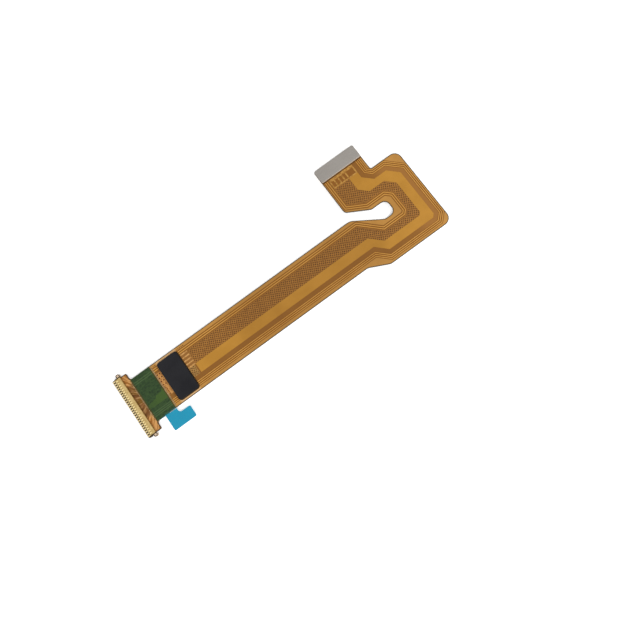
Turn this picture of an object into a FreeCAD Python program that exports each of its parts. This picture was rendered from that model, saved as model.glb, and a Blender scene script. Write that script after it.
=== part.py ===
import FreeCAD, Part
import math
import os
import re
import Sketcher

# Flat flex cable: a printed film with a fine-pitch comb connector at one end,
# a hooked paddle with a slot at the other, and a board plug under the neck.
# x runs along the strip from the comb to the paddle, y across it, z up from the resting face.
# Sizes are in millimetres. The origin is the centre of the part's footprint, on the resting face.

doc = FreeCAD.newDocument("flat_flex_cable")
sheet = doc.addObject("Spreadsheet::Sheet", "sizes")
places = doc.addObject("App::VarSet", "places")

drivingSizes = [
    # film outline
    ("strip_width", 9.72, "width of the long strip"),
    ("flange_inset", 0.13, "comb housing's end to the flange's side"),
    ("flange_reach", 1.95, "from the datum to the flange's inner edge"),
    ("film_back", 0.35, "film end behind the datum"),
    ("neck_start", 54.7, "from the datum to the neck's left edge"),
    ("neck_width", 9.5, "width of the neck"),
    ("neck_end", 17.24, "from the strip's centre line to the neck's end"),
    ("paddle_reach", 15.8, "from the neck's left edge to the paddle's right edge"),
    ("paddle_top", 11.02, "from the centre line up to the paddle's shoulder"),
    ("paddle_drop", 6.88, "from the centre line down to the paddle's lower edge"),
    ("mouth_back", 0.18, "slot mouth before the neck's left edge"),
    ("slot_reach", 8.05, "from the neck's left edge to the slot's blind end"),
    ("slot_low", 1.04, "from the centre line up to the slot's lower side"),
    ("slot_width", 3.09, "width of the slot's blind end"),
    ("slot_low_flat", 2.42, "straight part of the slot's lower side"),
    ("slot_high_flat", 3.38, "straight part of the slot's upper side"),
    ("neck_foot", 6.8, "from the centre line up to the neck's foot"),
    ("belly_start", 2.93, "start of the lower slant before the neck"),
    ("belly_end", 1.16, "end of the lower slant past the neck's left edge"),
    ("flange_round", 0.2, "flange corners"),
    ("root_round", 0.35, "corner between flange and strip"),
    ("mouth_round", 2.0, "bend at the slot's mouth"),
    ("shoulder_round", 0.9, "bends into the slot's blind end"),
    ("slot_round", 1.15, "corners of the slot's blind end"),
    ("foot_round", 1.0, "corner at the neck's foot"),
    ("neck_round", 0.42, "corners at the neck's end and of the stiffener"),
    ("armpit_round", 0.3, "corner between neck and paddle"),
    ("paddle_round", 1.6, "outer corners of the paddle"),
    ("belly_round", 1.8, "bends of the lower slant"),
    # layers
    ("plug_height", 0.72, "board plug from its mating face to the copper under the film"),
    ("film_thick", 0.12, "film with its inner layers"),
    ("copper_thick", 0.03, "etched copper"),
    ("shield_thick", 0.03, "black film on the underside"),
    ("mask_thick", 0.03, "green mask"),
    ("tab_thick", 0.08, "pull tab, and the adhesive beside it"),
    ("plate_thick", 0.2, "end plate"),
    ("steel_thick", 0.3, "steel stiffener over the plug"),
    ("foam_thick", 0.45, "foam pad"),
    # copper pattern
    ("edge_gap", 0.18, "film left bare along the cut edge"),
    ("slot_rail", 1.8, "strip's upper edge to the mesh"),
    ("slot_under", 1.88, "slot's lower side to the mesh"),
    ("slot_beyond", 2.18, "slot's blind end to the mesh"),
    ("slot_over", 1.78, "slot's upper side to the mesh"),
    ("neck_rail", 1.33, "neck's left edge to the mesh"),
    ("slot_bend", 0.2, "mesh bends this far past the neck's left edge"),
    ("slot_bend_high", 4.6, "upper bend of the mesh past the neck's left edge"),
    ("slot_cut_low", 0.9, "lower chamfer round the blind end"),
    ("slot_cut_high", 1.45, "upper chamfer round the blind end"),
    ("rim_strip", 2.73, "strip's lower edge to the ground plane"),
    ("rim_bottom", 2.53, "paddle's lower edge to the ground plane"),
    ("rim_right", 2.08, "paddle's right edge to the ground plane"),
    ("rim_top", 2.13, "paddle's shoulder to the ground plane"),
    ("rim_neck", 2.5, "neck's right edge to the ground plane"),
    ("rim_bend", 0.45, "ground plane bends this far past the neck's left edge"),
    ("rim_cut_low", 0.6, "ground plane's lower chamfer"),
    ("rim_cut_high", 2.05, "ground plane's upper chamfer"),
    ("rim_cut_neck", 1.8, "ground plane's chamfer into the neck"),
    ("plane_strip", 1.97, "ground plane's width in the strip"),
    ("plane_paddle", 1.83, "ground plane's width in the paddle"),
    ("plane_top", 1.4, "ground plane's width under the shoulder"),
    ("plane_neck", 2.0, "ground plane's width in the neck"),
    ("plane_bend", 0.5, "ground plane's inner bend past the neck's left edge"),
    ("plane_cut_low", 0.6, "inner lower chamfer"),
    ("plane_cut_high", 1.8, "inner upper chamfer"),
    ("plane_cut_neck", 1.6, "inner chamfer into the neck"),
    ("mesh_cut", 0.7, "chamfer where the mesh starts"),
    ("mesh_pitch", 2.5, "mesh openings along the strip"),
    ("mesh_line", 0.45, "copper left between two mesh openings"),
    ("mesh_border", 0.12, "copper line round the mesh"),
    ("slot_first", 0.23, "mesh to the first line beside the slot"),
    ("slot_pitch", 0.42, "lines beside the slot"),
    ("slot_line", 0.2, "width of the lines beside the slot"),
    ("slot_margin_gap", 1.07, "mesh to the copper margin beside the slot"),
    ("slot_margin_reach", 1.5, "greatest width of that margin"),
    ("rim_first", 0.97, "ground plane to the first rim line"),
    ("rim_pitch", 0.37, "rim lines"),
    ("rim_line", 0.17, "width of the rim lines"),
    ("rim_margin_gap", 2.03, "ground plane to the copper margin at the rim"),
    ("rim_margin_reach", 2.6, "greatest width of that margin"),
    # stations along the strip
    ("mask_end", 6.38, "green mask ends"),
    ("pad_start", 7.8, "foam pad starts"),
    ("pad_length", 4.53, "foam pad along the strip"),
    ("pad_width", 8.5, "foam pad across the strip"),
    ("pad_round", 0.55, "foam pad's corners"),
    ("field_start", 14.15, "mesh and ground plane start"),
    ("entry_line", 0.26, "width of the lines between pad and mesh"),
    ("entry_count", 5, "number of those lines"),
    ("entry_tuck", 0.3, "how far they run under the pad"),
    ("patch_gap", 0.3, "patch to the ground plane"),
    ("patch_length", 1.35, "hatched patch before the ground plane"),
    ("patch_hole", 0.24, "openings of a hatched patch"),
    ("patch_pitch", 0.44, "pitch of those openings"),
    ("via_rail", 0.22, "bare film above the upper pad before the foam pad"),
    ("via_pad_count", 4, "number of those copper pads"),
    ("via_pad_gap", 0.09, "gap between two of those pads"),
    ("via_gap", 0.08, "pads to the mask and the foam pad"),
    ("via_hole", 0.24, "diameter of the holes in those pads"),
    ("via_inset", 0.36, "hole centres from the pads' ends"),
    ("fan_line", 0.22, "width of the fan-out lines"),
    # neck ladder
    ("ladder_start", 11.95, "copper ladder starts"),
    ("ladder_rung", 0.25, "copper left at the ladder's start"),
    ("ladder_height", 1.3, "openings of the ladder"),
    ("ladder_hole", 0.58, "width of a narrow opening"),
    ("ladder_pitch", 0.88, "pitch of the narrow openings"),
    ("ladder_count", 4, "number of narrow openings"),
    ("ladder_side", 0.28, "first opening from the ladder's side"),
    # steel stiffener
    ("steel_height", 2.95, "steel stiffener across the neck's end"),
    ("bond_thick", 0.04, "bonding film under the stiffener"),
    ("bond_reach", 0.22, "bonding film beyond the stiffener's lower edge"),
    # end plate and pull tab
    ("plate_end", 4.7, "end plate's inner edge"),
    ("plate_root", 0.6, "end plate's inner corners"),
    ("shield_start", 5.4, "black film starts"),
    ("tab_left", 3.8, "pull tab's left side"),
    ("tab_neck", 2.55, "width where the tab leaves the strip"),
    ("tab_width", 5.0, "tab's overall width"),
    ("tab_drop", 1.12, "strip's edge to the tab's step"),
    ("tab_reach", 3.5, "strip's edge to the tab's end"),
    ("tab_round", 0.25, "tab's outer corners"),
    ("tab_fillet", 0.65, "tab's inner corner"),
    ("tab_root", 1.2, "tongue wider than the tab on its left"),
    ("tab_anchor", 2.2, "tongue's length under the film"),
    ("tab_clear", 0.06, "tongue to the end plate's edge"),
    # comb connector
    ("contact_count", 26, "comb contacts"),
    ("contact_pitch", 0.5, "comb contact pitch"),
    ("contact_width", 0.25, "width of one comb contact"),
    ("contact_thick", 0.08, "thickness of a comb contact"),
    ("contact_tip", 1.07, "contact tips behind the datum"),
    ("contact_tail", 0.58, "contact tails past the datum"),
    ("contact_riser", 0.22, "risers past the datum"),
    ("contact_hook", 0.12, "hook below the contact seat"),
    ("seat_rise", 0.25, "contact seat above the film"),
    ("shell_clear", 0.02, "shell above the contacts"),
    ("shell_thick", 0.1, "thickness of the shell"),
    ("shell_front", 0.47, "shell's front edge behind the datum"),
    ("shell_back", 0.72, "shell's skirt past the datum"),
    ("dimple_width", 0.2, "shell's dimple above each contact"),
    ("dimple_length", 0.42, "length of those dimples"),
    ("dimple_inset", 0.07, "shell's front edge to the dimples"),
    ("dimple_depth", 0.04, "depth of those dimples"),
    ("cheek_clear", 0.02, "outer contacts to the housing's cheeks"),
    ("cheek_thick", 0.155, "housing's cheeks"),
    ("housing_gap", 0.03, "housing to the film's end"),
    ("bar_thick", 0.13, "lower bar"),
    ("bar_tip", 1.05, "lower bar's front face behind the datum"),
    ("bar_gap", 0.07, "lower bar to the film's end"),
    ("bar_clear", 0.04, "lower bar to the contact hooks"),
    ("bar_round", 0.06, "lower bar's folded edge"),
    ("ear_start", 0.06, "ears from the datum"),
    ("ear_width", 0.8, "ears along the strip"),
    ("ear_reach", 0.62, "ears beyond the housing"),
    ("ear_round", 0.33, "ears' outer corners"),
    ("ear_rim", 0.15, "rim of the ears"),
    ("ear_dish", 0.12, "depth inside the rim"),
    # board plug
    ("plug_setback", 1.55, "neck's end to the plug's centre"),
    ("plug_length", 8.2, "plug with its clips"),
    ("plug_width", 1.45, "plug housing without the tails"),
    ("plug_wall", 0.33, "plug's long walls"),
    ("plug_end_wall", 0.42, "plug's end walls"),
    ("plug_base", 0.22, "plug's base"),
    ("plug_lip", 0.08, "long walls above the mating face"),
    ("pin_count", 17, "plug contacts in a row"),
    ("pin_pitch", 0.4, "plug contact pitch"),
    ("pin_width", 0.22, "width of one plug contact"),
    ("pin_thick", 0.06, "thickness of a plug contact"),
    ("pin_tail", 0.3, "tails beyond the housing"),
    ("pin_inner", 0.45, "inner legs from the mating face"),
    ("pin_shy", 0.02, "contacts above the mating face"),
    ("clip_arm", 0.45, "arms of the end clips"),
    ("clip_foot", 0.2, "feet of the end clips"),
    # copper on the underside
    ("lead_count", 5, "wide leads under the neck"),
    ("lead_pitch", 0.88, "their pitch"),
    ("lead_width", 0.4, "their width"),
    ("lead_reach", 2.4, "first lead left of the neck's middle"),
    ("lead_clear", 0.05, "leads to the plug's tails"),
    ("jog_width", 0.55, "width of the bent lead"),
    ("jog_offset", 0.7, "sideways step of the bent lead"),
    ("jog_rise", 0.9, "straight part below the step"),
    ("jog_gap", 0.18, "last straight lead to the bent one"),
    ("hatch_size", 1.26, "hatched patches under the neck"),
    ("hatch_side", 0.45, "patches to the neck's edges"),
    ("hatch_gap", 0.1, "right patch to the bent lead"),
    ("hatch_low", 12.1, "lower edge of the right patch"),
    ("hatch_high", 12.95, "lower edge of the left patch"),
    ("bay_pour_high", 1.65, "width of the upper copper in the bay"),
    ("bay_pour_low", 3.35, "width of the lower copper in the bay"),
    ("bay_line", 0.28, "width of the bay's lines"),
    ("bay_count", 5, "number of the bay's lines"),
]

# worked out from the sizes above
workedOut = [
    ("strip_half", "strip_width / 2"),
    ("contact_reach", "(contact_count - 1) * contact_pitch / 2 + contact_width / 2"),
    ("comb_half", "contact_reach + cheek_clear + cheek_thick"),
    ("flange_half", "comb_half - flange_inset"),
    ("tab_step", "strip_half + tab_drop"),
    ("tab_end", "strip_half + tab_reach"),
    ("mouth_x", "neck_start - mouth_back"),
    ("slot_x", "neck_start + slot_reach"),
    ("slot_low_x", "slot_x - slot_low_flat"),
    ("slot_high", "slot_low + slot_width"),
    ("slot_high_x", "slot_x - slot_high_flat"),
    ("neck_right", "neck_start + neck_width"),
    ("neck_middle", "neck_start + neck_width / 2"),
    ("paddle_right", "neck_start + paddle_reach"),
    ("belly_x", "neck_start + belly_end"),
    ("belly_root", "neck_start - belly_start"),
    ("centre_x", "(paddle_right - contact_tip) / 2"),
    ("centre_y", "(neck_end - tab_end) / 2"),
    ("film_low", "plug_height + copper_thick"),
    ("film_top", "film_low + film_thick"),
    ("copper_top", "film_top + copper_thick"),
    ("bond_top", "copper_top + bond_thick"),
    ("under_copper", "film_low - copper_thick"),
    ("plate_top", "film_low - tab_thick"),
    ("plate_low", "plate_top - plate_thick"),
    ("shield_low", "film_low - shield_thick"),
    # the line that runs beside the slot
    ("slot_y", "strip_half - slot_rail"),
    ("under_y", "slot_low - slot_under"),
    ("beyond_x", "slot_x + slot_beyond"),
    ("over_y", "slot_high + slot_over"),
    ("neck_x", "neck_start + neck_rail"),
    ("slot_bend_x", "neck_start + slot_bend"),
    ("slot_fall_x", "slot_bend_x + slot_y - under_y"),
    ("slot_rise_x", "neck_start + slot_bend_high"),
    ("slot_slant", "(neck_foot - slot_high) / (slot_high_x - neck_start)"),
    ("slot_foot_y", "over_y + (slot_rise_x - neck_x) * slot_slant"),
    # the line that runs round the rim
    ("rim_y", "rim_strip - strip_half"),
    ("rim_low_y", "rim_bottom - paddle_drop"),
    ("rim_x", "paddle_right - rim_right"),
    ("rim_top_y", "paddle_top - rim_top"),
    ("rim_neck_x", "neck_right - rim_neck"),
    ("rim_bend_x", "neck_start + rim_bend"),
    ("rim_fall_x", "rim_bend_x + rim_y - rim_low_y"),
    # the line between mesh and ground plane
    ("plane_y", "rim_y + plane_strip"),
    ("plane_low_y", "rim_low_y + plane_paddle"),
    ("plane_x", "rim_x - plane_paddle"),
    ("plane_top_y", "rim_top_y - plane_top"),
    ("plane_neck_x", "rim_neck_x - plane_neck"),
    ("plane_bend_x", "neck_start + plane_bend"),
    ("plane_fall_x", "plane_bend_x + plane_y - plane_low_y"),
    ("line_end", "neck_end - steel_height / 2"),
    # short copper pieces
    ("entry_pitch", "(slot_y - plane_y - entry_line) / (entry_count - 1)"),
    ("via_pad_pitch", "(slot_y - plane_y - via_rail) / via_pad_count"),
    ("via_pad_height", "via_pad_pitch - via_pad_gap"),
    ("fan_spread", "2 * (strip_half - edge_gap) / (contact_count * contact_pitch)"),
    ("ladder_wide_x", "neck_x + ladder_side + ladder_count * ladder_pitch"),
    ("lead_x", "neck_middle - lead_reach"),
    ("jog_x", "lead_x + (lead_count - 1) * lead_pitch + lead_width + jog_gap"),
    ("jog_right", "jog_x + jog_offset + jog_width"),
    ("jog_y", "paddle_top + jog_rise"),
    ("bay_high_y", "strip_half - edge_gap - bay_pour_high"),
    ("bay_low_y", "edge_gap + bay_pour_low - strip_half"),
    ("bay_pitch", "(bay_high_y - bay_low_y) / bay_count"),
    # comb connector
    ("seat_top", "film_top + seat_rise"),
    ("contact_top", "seat_top + contact_thick"),
    ("shell_low", "contact_top + shell_clear"),
    ("shell_top", "shell_low + shell_thick"),
    ("hook_low", "seat_top - contact_hook"),
    ("housing_front", "contact_tip - contact_thick"),
    ("housing_back", "film_back + housing_gap"),
    ("bar_top", "hook_low - bar_clear"),
    # board plug
    ("plug_y", "neck_end - plug_setback"),
    ("plug_half", "plug_length / 2 - pin_thick"),
    ("plug_side", "plug_width / 2"),
    ("tail_y", "plug_side + pin_tail"),
    ("lead_top", "plug_y - tail_y - lead_clear"),
]

for row, (alias, value, note) in enumerate(drivingSizes, start=1):
    sheet.set(f"A{row}", note)
    sheet.set(f"B{row}", str(value))
    sheet.setAlias(f"B{row}", alias)

owners = {alias: "sizes." for alias, value, note in drivingSizes}
owners.update({name: "places." for name, formula in workedOut})


def bound(formula):
    """The formula with each size and each place named by its owner."""
    return re.sub(r"[a-z_]+", lambda word: owners.get(word.group(), "") + word.group(), formula)


for name, formula in workedOut:
    places.addProperty("App::PropertyFloat", name)
    places.setExpression(name, bound(formula))
doc.recompute()


def number(name):
    """The present value of one size."""
    return float(sheet.get(name))


def placeSketch(sketch, height):
    """Lifts a sketch of the plan to the height of its layer."""
    sketch.setExpression("AttachmentOffset.Base.z", bound(height))


def drawOutline(sketch, corners, closed=True):
    """Straight sides through the corners, each corner bound to its formulas, then the rounds."""
    count = len(corners)
    start = sketch.GeometryCount
    spots = []
    for index in range(count):
        angle = -2 * math.pi * index / count
        spots.append(FreeCAD.Vector(math.cos(angle), math.sin(angle), 0))
    sides = count if closed else count - 1
    for index in range(sides):
        sketch.addGeometry(Part.LineSegment(spots[index], spots[(index + 1) % count]))
    for index in range(sides if closed else sides - 1):
        sketch.addConstraint(Sketcher.Constraint("Coincident", start + index, 2,
                                                 start + (index + 1) % count, 1))
    for index in range(count):
        side, end = (start + index, 1) if index < sides else (start + index - 1, 2)
        for axis, along in (("X", spots[index].x), ("Y", spots[index].y)):
            label = f"corner_{start + index}_{axis}"
            added = sketch.addConstraint(Sketcher.Constraint("Distance" + axis, -1, 1, side, end, along))
            sketch.renameConstraint(added, label)
            formula = corners[index][0 if axis == "X" else 1]
            sketch.setExpression("Constraints." + label, bound(formula))
    doc.recompute()
    for index, corner in enumerate(corners):
        if len(corner) == 3:
            roundCorner(sketch, start + (index - 1) % count, start + index, corner[2])


def drawCircle(sketch, x, y, radius):
    """A circle with its centre and its radius bound to their formulas."""
    circle = sketch.addGeometry(Part.Circle(FreeCAD.Vector(1, 1, 0), FreeCAD.Vector(0, 0, 1), 1))
    ties = {
        "across": (Sketcher.Constraint("DistanceX", -1, 1, circle, 3, 1), x),
        "along": (Sketcher.Constraint("DistanceY", -1, 1, circle, 3, 1), y),
        "radius": (Sketcher.Constraint("Radius", circle, 1), radius),
    }
    for label, (tie, formula) in ties.items():
        sketch.renameConstraint(sketch.addConstraint(tie), label)
        sketch.setExpression("Constraints." + label, bound(formula))


def middle(side):
    """The middle of a straight side."""
    return (side.StartPoint + side.EndPoint) * 0.5


def roundCorner(sketch, before, after, radius):
    """An arc between two sides, which keeps the corner itself as a bound point."""
    sides = sketch.Geometry
    sketch.fillet(before, after, middle(sides[before]), middle(sides[after]), number(radius), True, True)
    arc = max(index for index, item in enumerate(sketch.Geometry) if isinstance(item, Part.ArcOfCircle))
    added = sketch.addConstraint(Sketcher.Constraint("Radius", arc, number(radius)))
    label = f"round_{after}"
    sketch.renameConstraint(added, label)
    sketch.setExpression("Constraints." + label, bound(radius))


nodes = {}


def keep(name, item):
    """Names a finished piece and moves it to the part's own origin."""
    item.Label = name
    item.setExpression("Placement.Base.x", bound("-centre_x"))
    item.setExpression("Placement.Base.y", bound("-centre_y"))
    nodes[name] = item
    return item


def newBody(name):
    """A body that may hold several separate pieces of one kind."""
    body = doc.addObject("PartDesign::Body", name + "_body")
    body.AllowCompound = True
    return body


def originPart(body, role):
    """One plane or axis of the body's own origin."""
    return next(item for item in body.Origin.OriginFeatures if item.Role == role)


def newSketch(body, name, plane="XY_Plane"):
    """A sketch on one of the body's own planes."""
    sketch = body.newObject("Sketcher::SketchObject", name)
    sketch.AttachmentSupport = (originPart(body, plane), "")
    sketch.MapMode = "FlatFace"
    return sketch


def addPad(body, sketch, length, middled=False):
    """A pad of the sketch, to one side or equally to both."""
    pad = body.newObject("PartDesign::Pad", sketch.Name + "_pad")
    pad.Profile = sketch
    if middled:
        pad.Midplane = True
    pad.setExpression("Length", bound(length))
    return pad


def addPocket(body, sketch, depth):
    """A pocket of the sketch that has to take material away."""
    doc.recompute()
    before = body.Tip.Shape.Volume
    pocket = body.newObject("PartDesign::Pocket", sketch.Name + "_pocket")
    pocket.Profile = sketch
    pocket.setExpression("Length", bound(depth))
    doc.recompute()
    assert pocket.Shape.Volume < before, f"{sketch.Name} cuts nothing"
    return pocket


def addRow(body, feature, axis, length, count, name):
    """Copies of a feature in a row along one of the body's axes."""
    row = body.newObject("PartDesign::LinearPattern", name)
    row.Originals = [feature]
    row.Direction = (originPart(body, axis), [""])
    row.setExpression("Length", bound(length))
    row.setExpression("Occurrences", bound(count))
    body.Tip = row
    return row


def slab(name, corners, low, thick):
    """A flat piece: an outline in plan and a thickness."""
    body = newBody(name)
    sketch = newSketch(body, name + "_outline")
    placeSketch(sketch, low)
    drawOutline(sketch, corners)
    addPad(body, sketch, thick)
    return body


def box(left, right, low, high):
    """The corners of a rectangle."""
    return [(left, high), (right, high), (right, low), (left, low)]


# The film: strip, flange, hooked paddle with its slot, and neck.

headCorners = [
    ("mouth_x", "strip_half", "mouth_round"),
    ("slot_low_x", "slot_low", "shoulder_round"),
    ("slot_x", "slot_low", "slot_round"),
    ("slot_x", "slot_high", "slot_round"),
    ("slot_high_x", "slot_high", "shoulder_round"),
    ("neck_start", "neck_foot", "foot_round"),
]
rimCorners = [
    ("paddle_right", "paddle_top", "paddle_round"),
    ("paddle_right", "-paddle_drop", "paddle_round"),
    ("belly_x", "-paddle_drop", "belly_round"),
    ("belly_root", "-strip_half", "belly_round"),
]
filmCorners = [
    ("-film_back", "flange_half", "flange_round"),
    ("flange_reach", "flange_half", "flange_round"),
    ("flange_reach", "strip_half", "root_round"),
    *headCorners,
    ("neck_start", "neck_end", "neck_round"),
    ("neck_right", "neck_end", "neck_round"),
    ("neck_right", "paddle_top", "armpit_round"),
    *rimCorners,
    ("flange_reach", "-strip_half", "root_round"),
    ("flange_reach", "-flange_half", "flange_round"),
    ("-film_back", "-flange_half", "flange_round"),
]
film = keep("base_film", slab("base_film", filmCorners, "film_low", "film_thick"))

shieldCorners = [
    ("shield_start", "strip_half"),
    *headCorners,
    ("neck_start", "paddle_top"),
    *rimCorners,
    ("shield_start", "-strip_half"),
]
keep("shield_film", slab("shield_film", shieldCorners, "shield_low", "shield_thick"))


# Copper lines and margins follow two paths: one beside the slot, one round the rim.

slotPath = [
    ("field_start", "slot_y"),
    ("slot_bend_x", "slot_y"),
    ("slot_fall_x", "under_y"),
    ("beyond_x - slot_cut_low", "under_y"),
    ("beyond_x", "under_y + slot_cut_low"),
    ("beyond_x", "over_y - slot_cut_high"),
    ("beyond_x - slot_cut_high", "over_y"),
    ("slot_rise_x", "over_y"),
    ("neck_x", "slot_foot_y"),
]
planePath = [
    ("field_start", "plane_y"),
    ("plane_bend_x", "plane_y"),
    ("plane_fall_x", "plane_low_y"),
    ("plane_x - plane_cut_low", "plane_low_y"),
    ("plane_x", "plane_low_y + plane_cut_low"),
    ("plane_x", "plane_top_y - plane_cut_high"),
    ("plane_x - plane_cut_high", "plane_top_y"),
    ("plane_neck_x + plane_cut_neck", "plane_top_y"),
    ("plane_neck_x", "plane_top_y + plane_cut_neck"),
    ("plane_neck_x", "ladder_start"),
]
rimPath = [
    ("rim_bend_x", "rim_y"),
    ("rim_fall_x", "rim_low_y"),
    ("rim_x - rim_cut_low", "rim_low_y"),
    ("rim_x", "rim_low_y + rim_cut_low"),
    ("rim_x", "rim_top_y - rim_cut_high"),
    ("rim_x - rim_cut_high", "rim_top_y"),
    ("rim_neck_x + rim_cut_neck", "rim_top_y"),
    ("rim_neck_x", "rim_top_y + rim_cut_neck"),
]

planeCorners = planePath + [("rim_neck_x", "ladder_start")] + rimPath[::-1] + [("field_start", "rim_y")]
keep("ground_plane", slab("ground_plane", planeCorners, "film_top", "copper_thick"))


def pathSketch(name, corners):
    """An open line of straight runs on the film's top."""
    sketch = doc.addObject("Sketcher::SketchObject", name)
    sketch.setExpression("Placement.Base.z", bound("film_top"))
    drawOutline(sketch, corners, closed=False)
    return sketch


def beside(source, name, distance, filled=False):
    """A line at a distance beside another, or the strip between them."""
    offset = doc.addObject("Part::Offset2D", name)
    offset.Source = source
    offset.Mode = "Skin"
    offset.Join = "Intersection"
    offset.Fill = filled
    offset.setExpression("Value", bound(distance))
    return offset


def raised(source, name):
    """A flat outline given the copper's thickness."""
    solid = doc.addObject("Part::Extrusion", name)
    solid.Base = source
    solid.DirMode = "Custom"
    solid.Dir = FreeCAD.Vector(0, 0, 1)
    solid.Solid = True
    solid.setExpression("LengthFwd", bound("copper_thick"))
    return solid


slotRun = [("flange_reach", "slot_y")] + slotPath[1:] + [("neck_x", "line_end")]
rimRun = [("flange_reach", "rim_y")] + rimPath + [("rim_neck_x", "line_end")]
slotLine = pathSketch("slot_line_path", slotRun)
rimLine = pathSketch("rim_line_path", rimRun)

for index, letter in enumerate("ab"):
    edge = beside(slotLine, f"slot_edge_{letter}", f"-slot_first - slot_pitch * {index}")
    strip = beside(edge, f"slot_strip_{letter}", "-slot_line", filled=True)
    keep(f"slot_line_{letter}", raised(strip, f"slot_raised_{letter}"))
for index, letter in enumerate("abc"):
    edge = beside(rimLine, f"rim_edge_{letter}", f"rim_first + rim_pitch * {index}")
    strip = beside(edge, f"rim_strip_{letter}", "rim_line", filled=True)
    keep(f"rim_line_{letter}", raised(strip, f"rim_raised_{letter}"))

# Inside its bare edge the film's rim is covered by two copper margins.

outlineSketch = doc.addObject("Sketcher::SketchObject", "margin_outline")
outlineSketch.setExpression("Placement.Base.z", bound("film_top"))
marginEnds = [("flange_reach", "-strip_half"), ("flange_reach", "strip_half")]
drawOutline(outlineSketch, marginEnds[1:] + filmCorners[3:-3] + marginEnds[:1])
outlineFace = doc.addObject("Part::Face", "margin_face")
outlineFace.Sources = [outlineSketch]
coverable = raised(beside(outlineFace, "margin_inset", "-edge_gap"), "margin_blank")


def margin(name, path, gap, reach):
    """The copper between the outermost line and the bare edge."""
    edge = beside(path, name + "_edge", gap)
    strip = beside(edge, name + "_strip", reach, filled=True)
    piece = doc.addObject("Part::Common", name + "_common")
    piece.Base = coverable
    piece.Tool = raised(strip, name + "_raised")
    keep(name, piece)


margin("slot_margin", slotLine, "-slot_margin_gap", "-slot_margin_reach")
margin("rim_margin", rimLine, "rim_margin_gap", "rim_margin_reach")


# The hatched ground: a copper band with diamond openings on one even lattice.

meshCorners = [
    ("field_start", "slot_y - mesh_cut"),
    ("field_start + mesh_cut", "slot_y"),
    *slotPath[1:],
    ("neck_x", "ladder_start"),
    *planePath[::-1],
]
meshBody = slab("shield_mesh", meshCorners, "film_top", "copper_thick")

borderSketch = doc.addObject("Sketcher::SketchObject", "mesh_border_outline")
borderSketch.setExpression("Placement.Base.z", bound("film_top"))
drawOutline(borderSketch, meshCorners)
borderFace = doc.addObject("Part::Face", "mesh_border_face")
borderFace.Sources = [borderSketch]
openable = raised(beside(borderFace, "mesh_border_inset", "-mesh_border"), "mesh_openable")


def diamond(x, y, half):
    """The corners of a square that stands on its point."""
    return [(x, f"{y} + {half}"), (f"{x} + {half}", y), (x, f"{y} - {half}"), (f"{x} - {half}", y)]


latticeBody = newBody("mesh_lattice")
latticeSketch = newSketch(latticeBody, "mesh_lattice_outline")
placeSketch(latticeSketch, "film_top")
meshHalf = "(mesh_pitch - mesh_line * sqrt(2)) / 2"
drawOutline(latticeSketch, diamond("field_start + mesh_pitch / 2", "plane_low_y", meshHalf))
drawOutline(latticeSketch, diamond("field_start + mesh_pitch", "plane_low_y + mesh_pitch / 2", meshHalf))
latticePad = addPad(latticeBody, latticeSketch, "copper_thick")
latticeGrid = latticeBody.newObject("PartDesign::MultiTransform", "mesh_lattice_grid")
latticeGrid.Originals = [latticePad]
latticeBody.Tip = latticeGrid
steps = []
for axis, reach in (("X_Axis", "plane_x - field_start"), ("Y_Axis", "ladder_start - plane_low_y")):
    step = latticeBody.newObject("PartDesign::LinearPattern", "mesh_lattice_along_" + axis[0].lower())
    step.Direction = (originPart(latticeBody, axis), [""])
    step.setExpression("Occurrences", bound(f"floor(({reach}) / mesh_pitch) + 1"))
    step.setExpression("Length", bound(f"floor(({reach}) / mesh_pitch) * mesh_pitch"))
    steps.append(step)
latticeGrid.Transformations = steps

openings = doc.addObject("Part::Common", "mesh_openings")
openings.Base = latticeBody
openings.Tool = openable
openedMesh = doc.addObject("Part::Cut", "shield_mesh_cut")
openedMesh.Base = meshBody
openedMesh.Tool = openings
keep("shield_mesh", openedMesh)

# The copper ladder between the neck's bands and the steel stiffener.

ladderBody = slab("neck_ladder", box("neck_x", "rim_neck_x", "ladder_start", "line_end"),
                  "film_top", "copper_thick")
rungLow = "ladder_start + ladder_rung"
rungHigh = rungLow + " + ladder_height"
narrowSketch = newSketch(ladderBody, "ladder_narrow")
placeSketch(narrowSketch, "copper_top")
narrowLeft = "neck_x + ladder_side"
drawOutline(narrowSketch, box(narrowLeft, narrowLeft + " + ladder_hole", rungLow, rungHigh))
narrow = addPocket(ladderBody, narrowSketch, "copper_thick")
addRow(ladderBody, narrow, "X_Axis", "(ladder_count - 1) * ladder_pitch", "ladder_count", "ladder_row")
wideSketch = newSketch(ladderBody, "ladder_opening")
placeSketch(wideSketch, "copper_top")
drawOutline(wideSketch, box("ladder_wide_x", "rim_neck_x - ladder_side", rungLow, rungHigh))
addPocket(ladderBody, wideSketch, "copper_thick")
keep("neck_ladder", ladderBody)

# Short copper pieces on both sides of the foam pad.

padEnd = "pad_start + pad_length"
entryBody = newBody("entry_lines")
entrySketch = newSketch(entryBody, "entry_line")
placeSketch(entrySketch, "film_top")
drawOutline(entrySketch, box(padEnd + " - entry_tuck", "field_start", "plane_y", "plane_y + entry_line"))
entryPad = addPad(entryBody, entrySketch, "copper_thick")
addRow(entryBody, entryPad, "Y_Axis", "(entry_count - 1) * entry_pitch", "entry_count", "entry_row")
keep("entry_lines", entryBody)


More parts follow.
